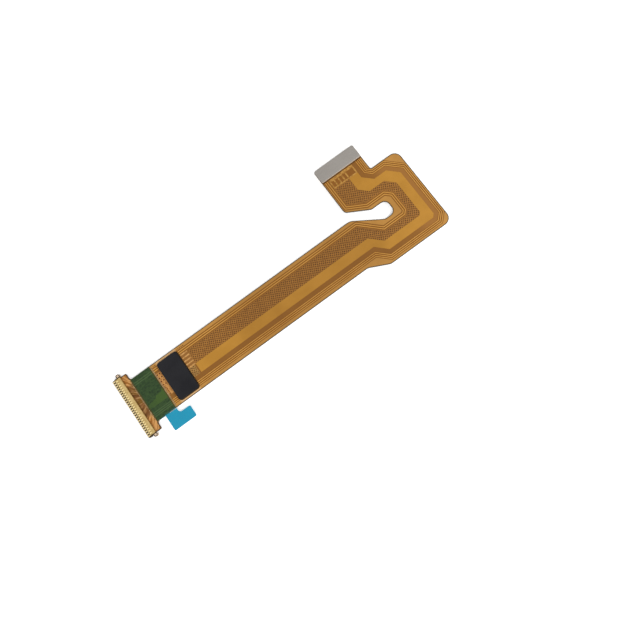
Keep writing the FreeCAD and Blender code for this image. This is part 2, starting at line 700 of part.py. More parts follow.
def hatchedPatch(name, left, right, low, high, level):
    """A small copper patch with rows of diamond openings."""
    body = slab(name, box(left, right, low, high), level, "copper_thick")
    sketch = newSketch(body, name + "_opening")
    placeSketch(sketch, f"{level} + copper_thick")
    half = "patch_hole / 2"
    drawOutline(sketch, diamond(f"{left} + patch_pitch / 2", f"{low} + patch_pitch / 2", half))
    opening = addPocket(body, sketch, "copper_thick")
    grid = body.newObject("PartDesign::MultiTransform", name + "_grid")
    grid.Originals = [opening]
    body.Tip = grid
    transformations = []
    for axis, reach in (("X_Axis", f"{right} - ({left})"), ("Y_Axis", f"{high} - ({low})")):
        step = body.newObject("PartDesign::LinearPattern", f"{name}_along_{axis[0].lower()}")
        step.Direction = (originPart(body, axis), [""])
        step.setExpression("Occurrences", bound(f"floor(({reach}) / patch_pitch)"))
        step.setExpression("Length", bound(f"(floor(({reach}) / patch_pitch) - 1) * patch_pitch"))
        transformations.append(step)
    grid.Transformations = transformations
    keep(name, body)


hatchedPatch("entry_patch", "field_start - patch_gap - patch_length", "field_start - patch_gap",
             "rim_y", "plane_y", "film_top")

viaBody = newBody("via_pads")
viaSketch = newSketch(viaBody, "via_pad")
placeSketch(viaSketch, "film_top")
viaLow = "plane_y + via_pad_gap / 2"
viaLeft = "mask_end + via_gap"
viaRight = "pad_start - via_gap"
drawOutline(viaSketch, box(viaLeft, viaRight, viaLow, viaLow + " + via_pad_height"))
viaPad = addPad(viaBody, viaSketch, "copper_thick")
viaReach = "(via_pad_count - 1) * via_pad_pitch"
addRow(viaBody, viaPad, "Y_Axis", viaReach, "via_pad_count", "via_pad_row")
for name, holeX in (("left", viaLeft + " + via_inset"), ("right", viaRight + " - via_inset")):
    holeSketch = newSketch(viaBody, "via_hole_" + name)
    placeSketch(holeSketch, "copper_top")
    drawCircle(holeSketch, holeX, viaLow + " + via_pad_height / 2", "via_hole / 2")
    hole = addPocket(viaBody, holeSketch, "copper_thick")
    addRow(viaBody, hole, "Y_Axis", viaReach, "via_pad_count", "via_hole_row_" + name)
pourSketch = newSketch(viaBody, "via_pour")
placeSketch(pourSketch, "film_top")
drawOutline(pourSketch, box(f"({viaLeft} + {viaRight}) / 2", viaRight, "rim_y", "plane_y"))
addPad(viaBody, pourSketch, "copper_thick")
keep("via_pads", viaBody)

# Fan-out from the comb's pitch to the strip: mirrored halves, one line to a contact.

fanBody = newBody("fan_out")
fanStart = "shell_back"
fanEnd = "flange_reach"
halfLine = "fan_line / 2"
for step in range(int(number("contact_count")) // 2):
    outer = f"({step} * contact_pitch + contact_pitch / 2)"
    inner = outer + " * fan_spread"
    fanSketch = newSketch(fanBody, f"fan_line_{step}")
    placeSketch(fanSketch, "film_top")
    for side in ("", "-"):
        drawOutline(fanSketch, [
            (fanStart, f"{side}({outer}) + {halfLine}"),
            (fanEnd, f"{side}({inner}) + {halfLine}"),
            (fanEnd, f"{side}({inner}) - {halfLine}"),
            (fanStart, f"{side}({outer}) - {halfLine}"),
        ])
    addPad(fanBody, fanSketch, "copper_thick")
keep("fan_out", fanBody)

# What is laminated on the film's top.

keep("solder_mask", slab("solder_mask", box("flange_reach", "mask_end", "-strip_half", "strip_half"),
                         "copper_top", "mask_thick"))


def roundedBox(left, right, low, high, radius):
    """The corners of a rectangle with one radius."""
    return [(x, y, radius) for x, y in box(left, right, low, high)]


padCorners = roundedBox("pad_start", padEnd, "-pad_width / 2", "pad_width / 2", "pad_round")
keep("foam_pad", slab("foam_pad", padCorners, "copper_top", "foam_thick"))
steelLow = "neck_end - steel_height"
bondCorners = roundedBox("neck_start", "neck_right", steelLow + " - bond_reach", "neck_end", "neck_round")
keep("stiffener_bond", slab("stiffener_bond", bondCorners, "copper_top", "bond_thick"))
steelCorners = roundedBox("neck_start", "neck_right", steelLow, "neck_end", "neck_round")
keep("plug_stiffener", slab("plug_stiffener", steelCorners, "bond_top", "steel_thick"))

# Under the comb end: the plate, its adhesive, and the pull tab held between plate and film.

plateCorners = [
    ("-film_back", "flange_half", "flange_round"),
    ("flange_reach", "flange_half", "flange_round"),
    ("flange_reach", "strip_half", "plate_root"),
    ("plate_end", "strip_half"),
    ("plate_end", "-strip_half"),
    ("flange_reach", "-strip_half", "plate_root"),
    ("flange_reach", "-flange_half", "flange_round"),
    ("-film_back", "-flange_half", "flange_round"),
]
keep("end_plate", slab("end_plate", plateCorners, "plate_low", "plate_thick"))

tongueLeft = "tab_left - tab_root"
tongueRight = "plate_end - tab_clear"
tongueTop = "tab_anchor - strip_half"
tabCorners = [
    (tongueLeft, tongueTop),
    (tongueRight, tongueTop),
    (tongueRight, "-strip_half - tab_clear"),
    ("tab_left + tab_neck", "-strip_half - tab_clear"),
    ("tab_left + tab_neck", "-tab_step", "tab_fillet"),
    ("tab_left + tab_width", "-tab_step", "tab_round"),
    ("tab_left + tab_width", "-tab_end", "tab_round"),
    ("tab_left", "-tab_end", "tab_round"),
    ("tab_left", "-strip_half - tab_clear"),
    (tongueLeft, "-strip_half - tab_clear"),
]
keep("pull_tab", slab("pull_tab", tabCorners, "plate_top", "tab_thick"))

adhesiveBody = slab("plate_adhesive", plateCorners, "plate_top", "tab_thick")
recessSketch = newSketch(adhesiveBody, "tab_recess")
placeSketch(recessSketch, "film_low")
drawOutline(recessSketch, box(tongueLeft, "plate_end + tab_clear", "-strip_half - tab_clear", tongueTop))
addPocket(adhesiveBody, recessSketch, "tab_thick")
keep("plate_adhesive", adhesiveBody)


def crossSection(name, corners, plane="XZ_Plane"):
    """A body and its section across the strip or along it."""
    body = newBody(name)
    sketch = newSketch(body, name + "_section", plane)
    drawOutline(sketch, corners)
    return body, sketch


# The comb connector: housing with end cheeks, contacts hooked over it, shell between the cheeks,
# bar below.

housingCorners = [
    ("-housing_front", "seat_top"),
    ("contact_riser", "seat_top"),
    ("contact_riser", "film_top"),
    ("-housing_back", "film_top"),
    ("-housing_back", "bar_thick"),
    ("bar_thick - bar_tip", "bar_thick"),
    ("bar_thick - bar_tip", "hook_low"),
    ("-housing_front", "hook_low"),
]
housingBody, housingSketch = crossSection("comb_housing", housingCorners)
addPad(housingBody, housingSketch, "2 * comb_half", middled=True)
for name, low, high in (("near", "-comb_half", "cheek_thick - comb_half"),
                        ("far", "comb_half - cheek_thick", "comb_half")):
    cheekSketch = newSketch(housingBody, "cheek_" + name)
    placeSketch(cheekSketch, "film_top")
    drawOutline(cheekSketch, box("-shell_front", "shell_back", low, high))
    addPad(housingBody, cheekSketch, "shell_top - film_top")
keep("comb_housing", housingBody)

contactCorners = [
    ("-contact_tip", "contact_top"),
    ("contact_riser + contact_thick", "contact_top"),
    ("contact_riser + contact_thick", "film_top + contact_thick"),
    ("contact_tail", "film_top + contact_thick"),
    ("contact_tail", "film_top"),
    ("contact_riser", "film_top"),
    ("contact_riser", "seat_top"),
    ("-housing_front", "seat_top"),
    ("-housing_front", "hook_low"),
    ("-contact_tip", "hook_low"),
]
contactBody, contactSketch = crossSection("comb_contacts", contactCorners)
contactSpan = "(contact_count - 1) * contact_pitch"
contactSketch.setExpression("AttachmentOffset.Base.z", bound(contactSpan + " / 2"))
contactPad = addPad(contactBody, contactSketch, "contact_width", middled=True)
addRow(contactBody, contactPad, "Y_Axis", contactSpan, "contact_count", "contact_row")
keep("comb_contacts", contactBody)

shellCorners = [
    ("-shell_front", "shell_top"),
    ("shell_back", "shell_top"),
    ("shell_back", "copper_top"),
    ("shell_back - shell_thick", "copper_top"),
    ("shell_back - shell_thick", "shell_low"),
    ("-shell_front", "shell_low"),
]
shellBody, shellSketch = crossSection("comb_shell", shellCorners)
addPad(shellBody, shellSketch, "2 * contact_reach", middled=True)
dimpleSketch = newSketch(shellBody, "shell_dimple")
placeSketch(dimpleSketch, "shell_top")
dimpleLeft = "dimple_inset - shell_front"
dimpleLow = f"0 - {contactSpan} / 2 - dimple_width / 2"
drawOutline(dimpleSketch, box(dimpleLeft, dimpleLeft + " + dimple_length",
                              dimpleLow, dimpleLow + " + dimple_width"))
dimple = addPocket(shellBody, dimpleSketch, "dimple_depth")
addRow(shellBody, dimple, "Y_Axis", contactSpan, "contact_count", "dimple_row")
keep("comb_shell", shellBody)

barCorners = [
    ("-bar_tip", "bar_top"),
    ("bar_thick - bar_tip", "bar_top"),
    ("bar_thick - bar_tip", "bar_thick"),
    ("-film_back - bar_gap", "bar_thick"),
    ("-film_back - bar_gap", "0"),
    ("-bar_tip", "0", "bar_round"),
]
barBody, barSketch = crossSection("comb_bar", barCorners)
addPad(barBody, barSketch, "2 * comb_half", middled=True)
keep("comb_bar", barBody)

earEnd = "ear_start + ear_width"
for name, side in (("comb_ear_near", "-"), ("comb_ear_far", "")):
    root = f"{side}comb_half"
    tip = f"{side}(comb_half + ear_reach)"
    rimmed = f"{side}(comb_half + ear_reach - ear_rim)"
    earCorners = [
        ("ear_start", root),
        ("ear_start", tip, "ear_round"),
        (earEnd, tip, "ear_round"),
        (earEnd, root),
    ]
    earBody = slab(name, earCorners, "plate_low", "shell_top - plate_low")
    dishSketch = newSketch(earBody, name + "_dish")
    placeSketch(dishSketch, "shell_top")
    drawOutline(dishSketch, [("ear_start + ear_rim", root), ("ear_start + ear_rim", rimmed),
                             (earEnd + " - ear_rim", rimmed), (earEnd + " - ear_rim", root)])
    addPocket(earBody, dishSketch, "ear_dish")
    keep(name, earBody)

# The board plug under the neck: walled housing, two rows of wrapped contacts, two end clips.

plugLeft = "neck_middle - plug_half"
plugRight = "neck_middle + plug_half"
plugBody = slab("plug_housing", box(plugLeft, plugRight, "plug_y - plug_side", "plug_y + plug_side"),
                "plug_height - plug_base", "plug_base")
for name, side in (("near", "-"), ("far", "+")):
    wallSketch = newSketch(plugBody, "plug_wall_" + name)
    placeSketch(wallSketch, "plug_lip")
    outerFace = f"plug_y {side} plug_side"
    innerFace = f"plug_y {side} (plug_side - plug_wall)"
    drawOutline(wallSketch, box(plugLeft, plugRight, outerFace, innerFace))
    addPad(plugBody, wallSketch, "plug_height - plug_base - plug_lip")
for name, root, tip in (("left", plugLeft, plugLeft + " + plug_end_wall"),
                        ("right", plugRight + " - plug_end_wall", plugRight)):
    endSketch = newSketch(plugBody, "plug_end_" + name)
    drawOutline(endSketch, box(root, tip, "plug_y - plug_side", "plug_y + plug_side"))
    addPad(plugBody, endSketch, "plug_height - plug_base")
keep("plug_housing", plugBody)

pinSpan = "(pin_count - 1) * pin_pitch"
for name, side in (("plug_contacts_near", "-"), ("plug_contacts_far", "+")):
    outerLeg = f"plug_y {side} (plug_side + pin_thick)"
    wallOuter = f"plug_y {side} plug_side"
    wallInner = f"plug_y {side} (plug_side - plug_wall)"
    innerLeg = f"plug_y {side} (plug_side - plug_wall - pin_thick)"
    tail = f"plug_y {side} tail_y"
    pinCorners = [
        (tail, "film_low"),
        (tail, "film_low - pin_thick"),
        (outerLeg, "film_low - pin_thick"),
        (outerLeg, "pin_shy"),
        (innerLeg, "pin_shy"),
        (innerLeg, "pin_inner"),
        (wallInner, "pin_inner"),
        (wallInner, "plug_lip"),
        (wallOuter, "plug_lip"),
        (wallOuter, "film_low"),
    ]
    pinBody, pinSketch = crossSection(name, pinCorners, "YZ_Plane")
    pinSketch.setExpression("AttachmentOffset.Base.z", bound(f"neck_middle - {pinSpan} / 2"))
    pinPad = addPad(pinBody, pinSketch, "pin_width", middled=True)
    addRow(pinBody, pinPad, "X_Axis", pinSpan, "pin_count", name + "_row")
    keep(name, pinBody)

clipSide = "(plug_side + pin_thick)"
for name, side, plugFace in (("plug_clip_left", "-", plugLeft), ("plug_clip_right", "+", plugRight)):
    back = f"{plugFace} {side} pin_thick"
    armEnd = f"{plugFace} {side} (pin_thick - clip_arm)"
    clipBody = slab(name, [
        (armEnd, f"plug_y + {clipSide}"),
        (back, f"plug_y + {clipSide}"),
        (back, f"plug_y - {clipSide}"),
        (armEnd, f"plug_y - {clipSide}"),
        (armEnd, "plug_y - plug_side"),
        (plugFace, "plug_y - plug_side"),
        (plugFace, "plug_y + plug_side"),
        (armEnd, "plug_y + plug_side"),
    ], "pin_shy", "film_low - pin_shy")
    footSketch = newSketch(clipBody, name + "_foot")
    placeSketch(footSketch, "film_low - pin_thick")
    footEdge = f"{plugFace} {side} (pin_thick + clip_foot)"
    drawOutline(footSketch, box(back, footEdge, "plug_y - plug_side", "plug_y + plug_side"))
    addPad(clipBody, footSketch, "pin_thick")
    keep(name, clipBody)

# Copper on the underside: leads and patches under the neck, lines in the bay by the plate.

leadBody = newBody("neck_leads")
leadSketch = newSketch(leadBody, "neck_lead")
placeSketch(leadSketch, "under_copper")
drawOutline(leadSketch, box("lead_x", "lead_x + lead_width", "paddle_top", "lead_top"))
leadPad = addPad(leadBody, leadSketch, "copper_thick")
addRow(leadBody, leadPad, "X_Axis", "(lead_count - 1) * lead_pitch", "lead_count", "neck_lead_row")
keep("neck_leads", leadBody)

keep("bent_lead", slab("bent_lead", [
    ("jog_x", "paddle_top"),
    ("jog_x", "jog_y"),
    ("jog_x + jog_offset", "jog_y + jog_offset"),
    ("jog_x + jog_offset", "lead_top"),
    ("jog_right", "lead_top"),
    ("jog_right", "jog_y + jog_offset"),
    ("jog_x + jog_width", "jog_y"),
    ("jog_x + jog_width", "paddle_top"),
], "under_copper", "copper_thick"))

hatchedPatch("neck_patch_right", "jog_right + hatch_gap", "neck_right - hatch_side",
             "hatch_low", "hatch_low + hatch_size", "under_copper")
hatchedPatch("neck_patch_left", "neck_start + hatch_side", "neck_start + hatch_side + hatch_size",
             "hatch_high", "hatch_high + hatch_size", "under_copper")

bayBody = newBody("bay_lines")
baySketch = newSketch(bayBody, "bay_line_first")
placeSketch(baySketch, "under_copper")
bayHigh = "bay_high_y - (bay_pitch - bay_line) / 2"
drawOutline(baySketch, box("plate_end", "shield_start", f"{bayHigh} - bay_line", bayHigh))
bayPad = addPad(bayBody, baySketch, "copper_thick")
bayRow = addRow(bayBody, bayPad, "Y_Axis", "(bay_count - 1) * bay_pitch", "bay_count", "bay_line_row")
bayRow.Reversed = True
for name, low, high in (("upper", "bay_high_y", "strip_half - edge_gap"),
                        ("lower", "edge_gap - strip_half", "bay_low_y")):
    bayPourSketch = newSketch(bayBody, "bay_pour_" + name)
    placeSketch(bayPourSketch, "under_copper")
    drawOutline(bayPourSketch, box("plate_end", "shield_start", low, high))
    addPad(bayBody, bayPourSketch, "copper_thick")
keep("bay_lines", bayBody)

doc.recompute()
for item in doc.Objects:
    troubled = {"Invalid", "Error"} & set(item.State)
    assert not troubled, f"{item.Name} is {item.State}"
for name, item in nodes.items():
    assert not item.Shape.isNull(), f"{name} has no shape"
    assert item.Shape.isValid(), f"{name} is not valid"
    assert item.Shape.Solids, f"{name} has no solid"

os.makedirs("parts", exist_ok=True)
for name, item in nodes.items():
    item.Shape.exportStep(f"parts/{name}.step")
    print(name, "solids", len(item.Shape.Solids), "volume", round(item.Shape.Volume, 4))
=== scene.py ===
import math
import bmesh
import bpy
from mathutils import Matrix, Vector
from mathutils.bvhtree import BVHTree


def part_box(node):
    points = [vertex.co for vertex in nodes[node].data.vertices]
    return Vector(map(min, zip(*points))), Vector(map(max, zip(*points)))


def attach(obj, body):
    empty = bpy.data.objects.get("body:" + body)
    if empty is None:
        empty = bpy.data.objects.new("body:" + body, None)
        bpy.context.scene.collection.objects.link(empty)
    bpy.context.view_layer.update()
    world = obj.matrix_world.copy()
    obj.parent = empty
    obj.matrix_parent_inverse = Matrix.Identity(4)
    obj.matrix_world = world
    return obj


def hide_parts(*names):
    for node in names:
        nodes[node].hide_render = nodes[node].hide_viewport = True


# Looks for a flat flex cable, laid flat with its copper side up.
# Lengths in the dictionaries are millimetres; the scene itself is in metres.

mm = 0.001
weld = 0.002 * mm  # corners closer than this are one
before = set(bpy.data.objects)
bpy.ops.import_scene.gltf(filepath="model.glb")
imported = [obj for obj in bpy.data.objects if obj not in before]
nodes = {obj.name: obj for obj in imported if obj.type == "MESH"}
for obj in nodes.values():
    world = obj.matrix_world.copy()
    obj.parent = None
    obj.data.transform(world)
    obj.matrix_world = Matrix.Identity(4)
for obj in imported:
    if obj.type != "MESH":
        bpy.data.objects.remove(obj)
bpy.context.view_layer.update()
print("frame loaded:", len(nodes), "nodes")


# shader maths: a wire is a socket that can be added, multiplied and compared

class Wire:
    def __init__(self, look, socket):
        self.look = look
        self.socket = socket

    def reckon(self, operation, first, second=0.0):
        return self.look.node("ShaderNodeMath", {"operation": operation}, {0: first, 1: second})

    def __add__(self, other):
        return self.reckon("ADD", self, other)

    def __sub__(self, other):
        return self.reckon("SUBTRACT", self, other)

    def __mul__(self, other):
        return self.reckon("MULTIPLY", self, other)

    def __truediv__(self, other):
        return self.reckon("DIVIDE", self, other)

    def __rsub__(self, other):
        return self.reckon("SUBTRACT", other, self)

    __radd__ = __add__
    __rmul__ = __mul__

    def most(self, other):
        return self.reckon("MAXIMUM", self, other)


class Look:
    # one material: its tree, and the few nodes every finish here is made of
    def __init__(self, name, **surface):
        self.material = bpy.data.materials.new(name)
        self.material.use_nodes = True
        self.tree = self.material.node_tree
        self.shader = next(n for n in self.tree.nodes if n.type == "BSDF_PRINCIPLED")
        place = self.node("ShaderNodeTexCoord", output="Object")
        self.place = self.node("ShaderNodeVectorMath", {"operation": "SCALE"},
                               {0: place, "Scale": 1 / mm}, output=0)
        split = self.node("ShaderNodeSeparateXYZ", sockets={0: self.place})
        self.x, self.y, self.z = (Wire(self, socket) for socket in split.socket.node.outputs)
        self.feed(**surface)

    def node(self, kind, settings=None, sockets=None, output=0):
        made = self.tree.nodes.new(kind)
        for key, value in (settings or {}).items():
            setattr(made, key, value)
        for key, value in (sockets or {}).items():
            self.join(made.inputs[key], value)
        return Wire(self, made.outputs[output])

    def join(self, target, value):
        if isinstance(value, Wire):
            self.tree.links.new(value.socket, target)
        else:
            target.default_value = value

    def feed(self, **surface):
        # keyword names are the shader's socket names with the spaces left out
        sockets = {socket.name.replace(" ", ""): socket for socket in self.shader.inputs}
        for key, value in surface.items():
            self.join(sockets[key], value)

    def stretched(self, x=1.0, y=1.0, z=1.0, turn=0.0):
        return self.node("ShaderNodeMapping", {"vector_type": "POINT"},
                         {"Vector": self.place, "Scale": (x, y, z), "Rotation": (0, 0, turn)})

    def noise(self, size, detail=2.0, roughness=0.5, place=None):
        return self.node("ShaderNodeTexNoise", None,
                         {"Vector": place or self.place, "Scale": 1 / size, "Detail": detail,
                          "Roughness": roughness})

    def rise(self, value, low, high, bottom=0.0, top=1.0):
        # a smooth step: bottom where the value is low, top where it is high
        return self.node("ShaderNodeMapRange", {"interpolation_type": "SMOOTHSTEP"},
                         {"Value": value, "From Min": low, "From Max": high, "To Min": bottom, "To Max": top})

    def riseFrom(self, value, datum, span, bottom=0.0, top=1.0):
        # the same, its two ends given as steps from a datum
        return self.rise(value, datum + span[0], datum + span[1], bottom, top)

    def band(self, value, low, high, soft):
        # 1 between low and high
        half = soft / 2
        return self.rise(value, low - half, low + half) * self.rise(value, high - half, high + half, 1, 0)

    def mix(self, share, first, second):
        return self.node("ShaderNodeMix", {"data_type": "RGBA"}, {0: share, 6: first, 7: second}, output=2)

    def relief(self, height, depth, strength=1.0):
        return self.node("ShaderNodeBump", None,
                         {"Height": height, "Distance": depth * mm, "Strength": strength})


def tone(red, green, blue):
    # a colour as the eye reads it, 0 to 255, turned into the shader's linear values
    def linear(value):
        value /= 255
        return value / 12.92 if value <= 0.04045 else ((value + 0.055) / 1.055) ** 2.4
    return (linear(red), linear(green), linear(blue), 1.0)


def spanOf(name):
    # a node's box in millimetres: low corner, high corner
    low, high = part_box(name)
    return Vector(low) / mm, Vector(high) / mm


def acrossAt(name, end, depth=0.01):
    # lowest and highest y of a node, in millimetres, at its left (-1) or right (1) end
    points = [v.co / mm for v in nodes[name].data.vertices]
    reach = max(point.x * end for point in points)
    across = [point.y for point in points if point.x * end > reach - depth]
    return min(across), max(across)


traces = ("slot_line_a", "slot_line_b", "rim_line_a", "rim_line_b", "rim_line_c")


# film and copper

filmSizes = {
    "bare": (136, 89, 32), "dim": (119, 76, 26), "bay": (175, 124, 66), "bayDim": (121, 77, 32),
    # side: painted shade for the film's cut edge
    "entry": (136, 91, 40), "ladder": (126, 79, 23), "column": 0.62, "side": (64, 44, 23),
    "far": (156, 106, 49), "farReach": 8.0, "farShare": 0.6,
    "under": (181, 128, 49), "bar": (113, 62, 21), "barPad": 0.3,
    "grain": 0.05, "fleck": 0.3, "fleckSpan": (0.46, 0.54), "cloud": 3.5, "soft": 0.06,
    "fanShade": 0.72, "topSpan": (0.01, 0.03), "facingSpan": (0.3, 0.6),
}

# along the middle of the strip everything is a little dimmer
driftSizes = {"from": -10.0, "to": 23.0, "soft": 12.0, "share": 0.2, "tone": (96, 60, 20)}


def drifted(look, base):
    middle = look.band(look.x, driftSizes["from"], driftSizes["to"], driftSizes["soft"])
    return look.mix(middle * driftSizes["share"], base, tone(*driftSizes["tone"]))


def zoneOf(look, name):
    # 1 over a node's box seen from above, 0 elsewhere
    low, high = spanOf(name)
    soft = filmSizes["soft"]
    return look.band(look.x, low.x, high.x, soft) * look.band(look.y, low.y, high.y, soft)


def filmFinish():
    film = Look("amberFilm", Roughness=0.34, CoatWeight=0.05, CoatRoughness=0.14, SpecularIORLevel=0.2)
    soft = filmSizes["soft"]
    leads, leadsTop = spanOf("neck_leads")
    cloud = film.noise(filmSizes["cloud"], 3.0)
    grain = film.noise(filmSizes["grain"], 2.0)
    fleck = film.noise(filmSizes["fleck"], 2.0, 0.6)
    top = drifted(film, film.mix(cloud, tone(*filmSizes["dim"]), tone(*filmSizes["bare"])))
    reach = spanOf("base_film")[1].x
    far = film.rise(film.x, reach - filmSizes["farReach"], reach - filmSizes["farReach"] / 2)
    top = film.mix(far * filmSizes["farShare"], top, tone(*filmSizes["far"]))
    # beside the foam pad the copper of the inner layer shines through, in flecks in the left column
    vias = spanOf("via_pads")[0]
    column = film.riseFrom(film.x, vias.x + filmSizes["column"], (0, soft), 1, 0)
    flecks = column * film.rise(fleck, *filmSizes["fleckSpan"])
    shine = film.mix(flecks, tone(*filmSizes["bay"]), tone(*filmSizes["bayDim"]))
    top = film.mix(zoneOf(film, "via_pads"), top, shine)
    top = film.mix(zoneOf(film, "entry_lines"), top, tone(*filmSizes["entry"]))
    top = film.mix(zoneOf(film, "neck_ladder"), top, tone(*filmSizes["ladder"]))
    top = film.mix(fanShare(film), top, fanTone(film, filmSizes["fanShade"]))
    pad = filmSizes["barPad"]
    bars = film.band(film.x, leads.x - pad, leadsTop.x + pad, soft)
    bars = bars * film.band(film.y, leads.y, leadsTop.y, soft)
    below = film.mix(bars, tone(*filmSizes["under"]), tone(*filmSizes["bar"]))
    isTop = film.riseFrom(film.z, spanOf("shield_film")[1].z, filmSizes["topSpan"])
    # the film's cut edge is painted darker than both faces: painted shade along its edges
    normal = film.node("ShaderNodeNewGeometry", output="Normal")
    facing = film.node("ShaderNodeSeparateXYZ", sockets={0: normal}, output=2)
    cut = film.rise(facing.reckon("ABSOLUTE", facing), *filmSizes["facingSpan"], 1, 0)
    shown = film.mix(cut, film.mix(isTop, below, top), tone(*filmSizes["side"]))
    film.feed(BaseColor=shown, Normal=film.relief(grain, 0.004, 0.4))
    return film.material


# the flange between comb and mask: fanned lines under a film that shines unevenly; that uneven shine is
# painted reflection

fanSizes = {
    # partly the lines' own tones, partly painted reflection; the pink is a painted highlight
    "pale": (208, 155, 93), "orange": (156, 100, 38), "deep": (84, 50, 11), "red": (109, 64, 23),
    "olive": (105, 74, 17), "pink": (148, 110, 68),
    "streak": 0.8, "streakSpan": (0.43, 0.57), "drift": 1.1, "driftSpan": (0.44, 0.56), "drag": 0.35,
    "darkFrom": -3.2, "darkTo": 4.0, "darkSoft": 0.7, "inner": 0.86,
}


def fanShare(look):
    # 1 over the flange, 0 beyond the fan's inner end
    return look.riseFrom(look.x, spanOf("fan_out")[1].x, (0, filmSizes["soft"]), 1, 0)


def fanTone(look, shade):
    # tones that follow the lines: a point's own line is read from how far they have closed in
    fan, fanTop = spanOf("fan_out")
    middle = (fan.y + fanTop.y) / 2
    outer, inner = acrossAt("fan_out", -1)[1] - middle, acrossAt("fan_out", 1)[1] - middle
    along = look.rise(look.x, fan.x, fanTop.x)
    closed = 1 - along * (1 - inner / outer)
    across = look.y - middle
    line = across / closed
    spot = look.node("ShaderNodeCombineXYZ", None, {0: line, 1: along * fanSizes["drag"]})
    # painted reflection: streaks along the lines, pale and pink highlights and a darker middle band
    streak = look.rise(look.noise(fanSizes["streak"], 2.0, 0.5, spot), *fanSizes["streakSpan"])
    drift = look.rise(look.noise(fanSizes["drift"], 1.0, 0.5, spot), *fanSizes["driftSpan"])
    outside = look.mix(streak, tone(*fanSizes["orange"]), tone(*fanSizes["pale"]))
    warm = look.mix(drift, tone(*fanSizes["olive"]), tone(*fanSizes["red"]))
    inside = look.mix(streak, look.mix(drift, warm, tone(*fanSizes["deep"])),
                      look.mix(drift, tone(*fanSizes["pink"]), warm))
    dark = look.band(across, fanSizes["darkFrom"], fanSizes["darkTo"], fanSizes["darkSoft"])
    shown = look.mix(dark * fanSizes["inner"], outside, inside)
    return look.mix(1 - shade, shown, tone(*fanSizes["deep"]))


def fanFinish():
    fan = Look("fanCopper", Roughness=0.3, CoatWeight=0.1, CoatRoughness=0.12, SpecularIORLevel=0.2)
    grain = fan.noise(copperSizes["grain"], 3.0, 0.6)
    fan.feed(BaseColor=fanTone(fan, 1.0), Normal=fan.relief(grain, 0.004, 0.35))
    return fan.material


copperSizes = {
    "gold": (177, 126, 47), "goldDim": (165, 116, 40),
    "trace": (194, 143, 68), "traceDim": (181, 129, 57),
    "margin": (179, 129, 62), "marginDim": (165, 118, 55), "marginPale": (210, 172, 125),
    "meshLine": (161, 110, 49), "meshDim": (134, 88, 36),
    "patch": (169, 128, 68), "patchDim": (144, 102, 51),
    "rung": (181, 135, 66), "rungDim": (144, 99, 39),
    "bar": (196, 149, 89), "barDim": (163, 116, 59),
    "via": (189, 137, 77), "viaDim": (159, 108, 53),
    "lead": (198, 143, 74), "leadDim": (181, 126, 59),
    "cloud": 6.0, "cloudSpan": (0.3, 0.7), "speck": 0.35, "speckSpan": (0.42, 0.58),
    "grain": 0.09, "fleckSpan": (0.35, 0.7), "fleckShare": 0.12, "besideSoft": 0.5, "besideShare": 0.75,
}


def copperFinish(name, bright, dim, specks=0.0, beside=None):
    # specks is the share of the dim tone in a fine mottle, beside a node that the copper pales next to
    copper = Look(name, Metallic=0.1, CoatWeight=0.03, CoatRoughness=0.14, SpecularIORLevel=0.2)
    cloud = copper.noise(copperSizes["cloud"], 3.0, 0.6)
    grain = copper.noise(copperSizes["grain"], 3.0, 0.6)
    brightTone, dimTone = tone(*copperSizes[bright]), tone(*copperSizes[dim])
    base = copper.mix(copper.rise(cloud, *copperSizes["cloudSpan"]), dimTone, brightTone)
    if specks:
        mottle = copper.rise(copper.noise(copperSizes["speck"], 2.0, 0.6), *copperSizes["speckSpan"])
        base = copper.mix(mottle * specks, brightTone, dimTone)
    if beside:
        low, high = spanOf(beside)
        near = copper.band(copper.x, low.x, high.x, copperSizes["besideSoft"]) * copperSizes["besideShare"]
        base = copper.mix(near, base, tone(*copperSizes[bright + "Pale"]))
    fleck = copper.rise(grain, *copperSizes["fleckSpan"])
    flecked = copper.mix(fleck * copperSizes["fleckShare"], base, dimTone)
    copper.feed(BaseColor=drifted(copper, flecked))
    copper.feed(Roughness=0.34 + fleck * 0.08, Normal=copper.relief(grain, 0.004, 0.35))
    return copper.material


blackSizes = {"sheet": (27, 26, 31), "pale": (36, 35, 41), "grain": 0.12, "cloud": 9.0}


def blackFilmFinish():
    black = Look("blackFilm", CoatWeight=0.15, CoatRoughness=0.3)
    cloud = black.noise(blackSizes["cloud"], 2.0)
    grain = black.noise(blackSizes["grain"], 3.0)
    black.feed(BaseColor=black.mix(cloud, tone(*blackSizes["sheet"]), tone(*blackSizes["pale"])))
    black.feed(Roughness=0.42 + grain * 0.12, Normal=black.relief(grain, 0.006, 0.5))
    return black.material


maskSizes = {
    "deep": (36, 54, 31), "green": (49, 70, 38), "line": (78, 100, 62), "patch": (60, 84, 36),
    "dot": (22, 34, 16), "rim": (66, 56, 16), "tab": (22, 100, 110),
    "grain": 0.35, "ripple": 0.32, "mottleSpan": (0.38, 0.6), "lineWide": 0.12, "lineShare": 0.5,
    "patchLow": -2.2, "lowSoft": 0.08, "patchTop": -1.35, "topSoft": 0.12, "patchShare": 0.85,
    # the patch's upper edge climbs towards the pad: where from, where to, how much
    "climbs": ((4.2, 2.4, 0.25), (2.3, 1.9, 0.5), (0.9, 0, 0.6)), "paler": (4.2, 1.6, 0.55, 1.0),
    "hole": 0.12, "holeShare": 0.8,
    "holes": ((0.93, 2.3), (1.18, -0.16), (1.73, -0.2), (2.6, 0.7), (2.2, 1.1)),
    "rightEnd": (0.26, 0.05), "leftEnd": (0.32, 0.05), "endShare": 0.8,
    "tabReach": 0.4, "tabSpan": (1.1, 1.3), "tabShare": 0.5, "patchRise": 0.8, "grainRise": 0.25,
}


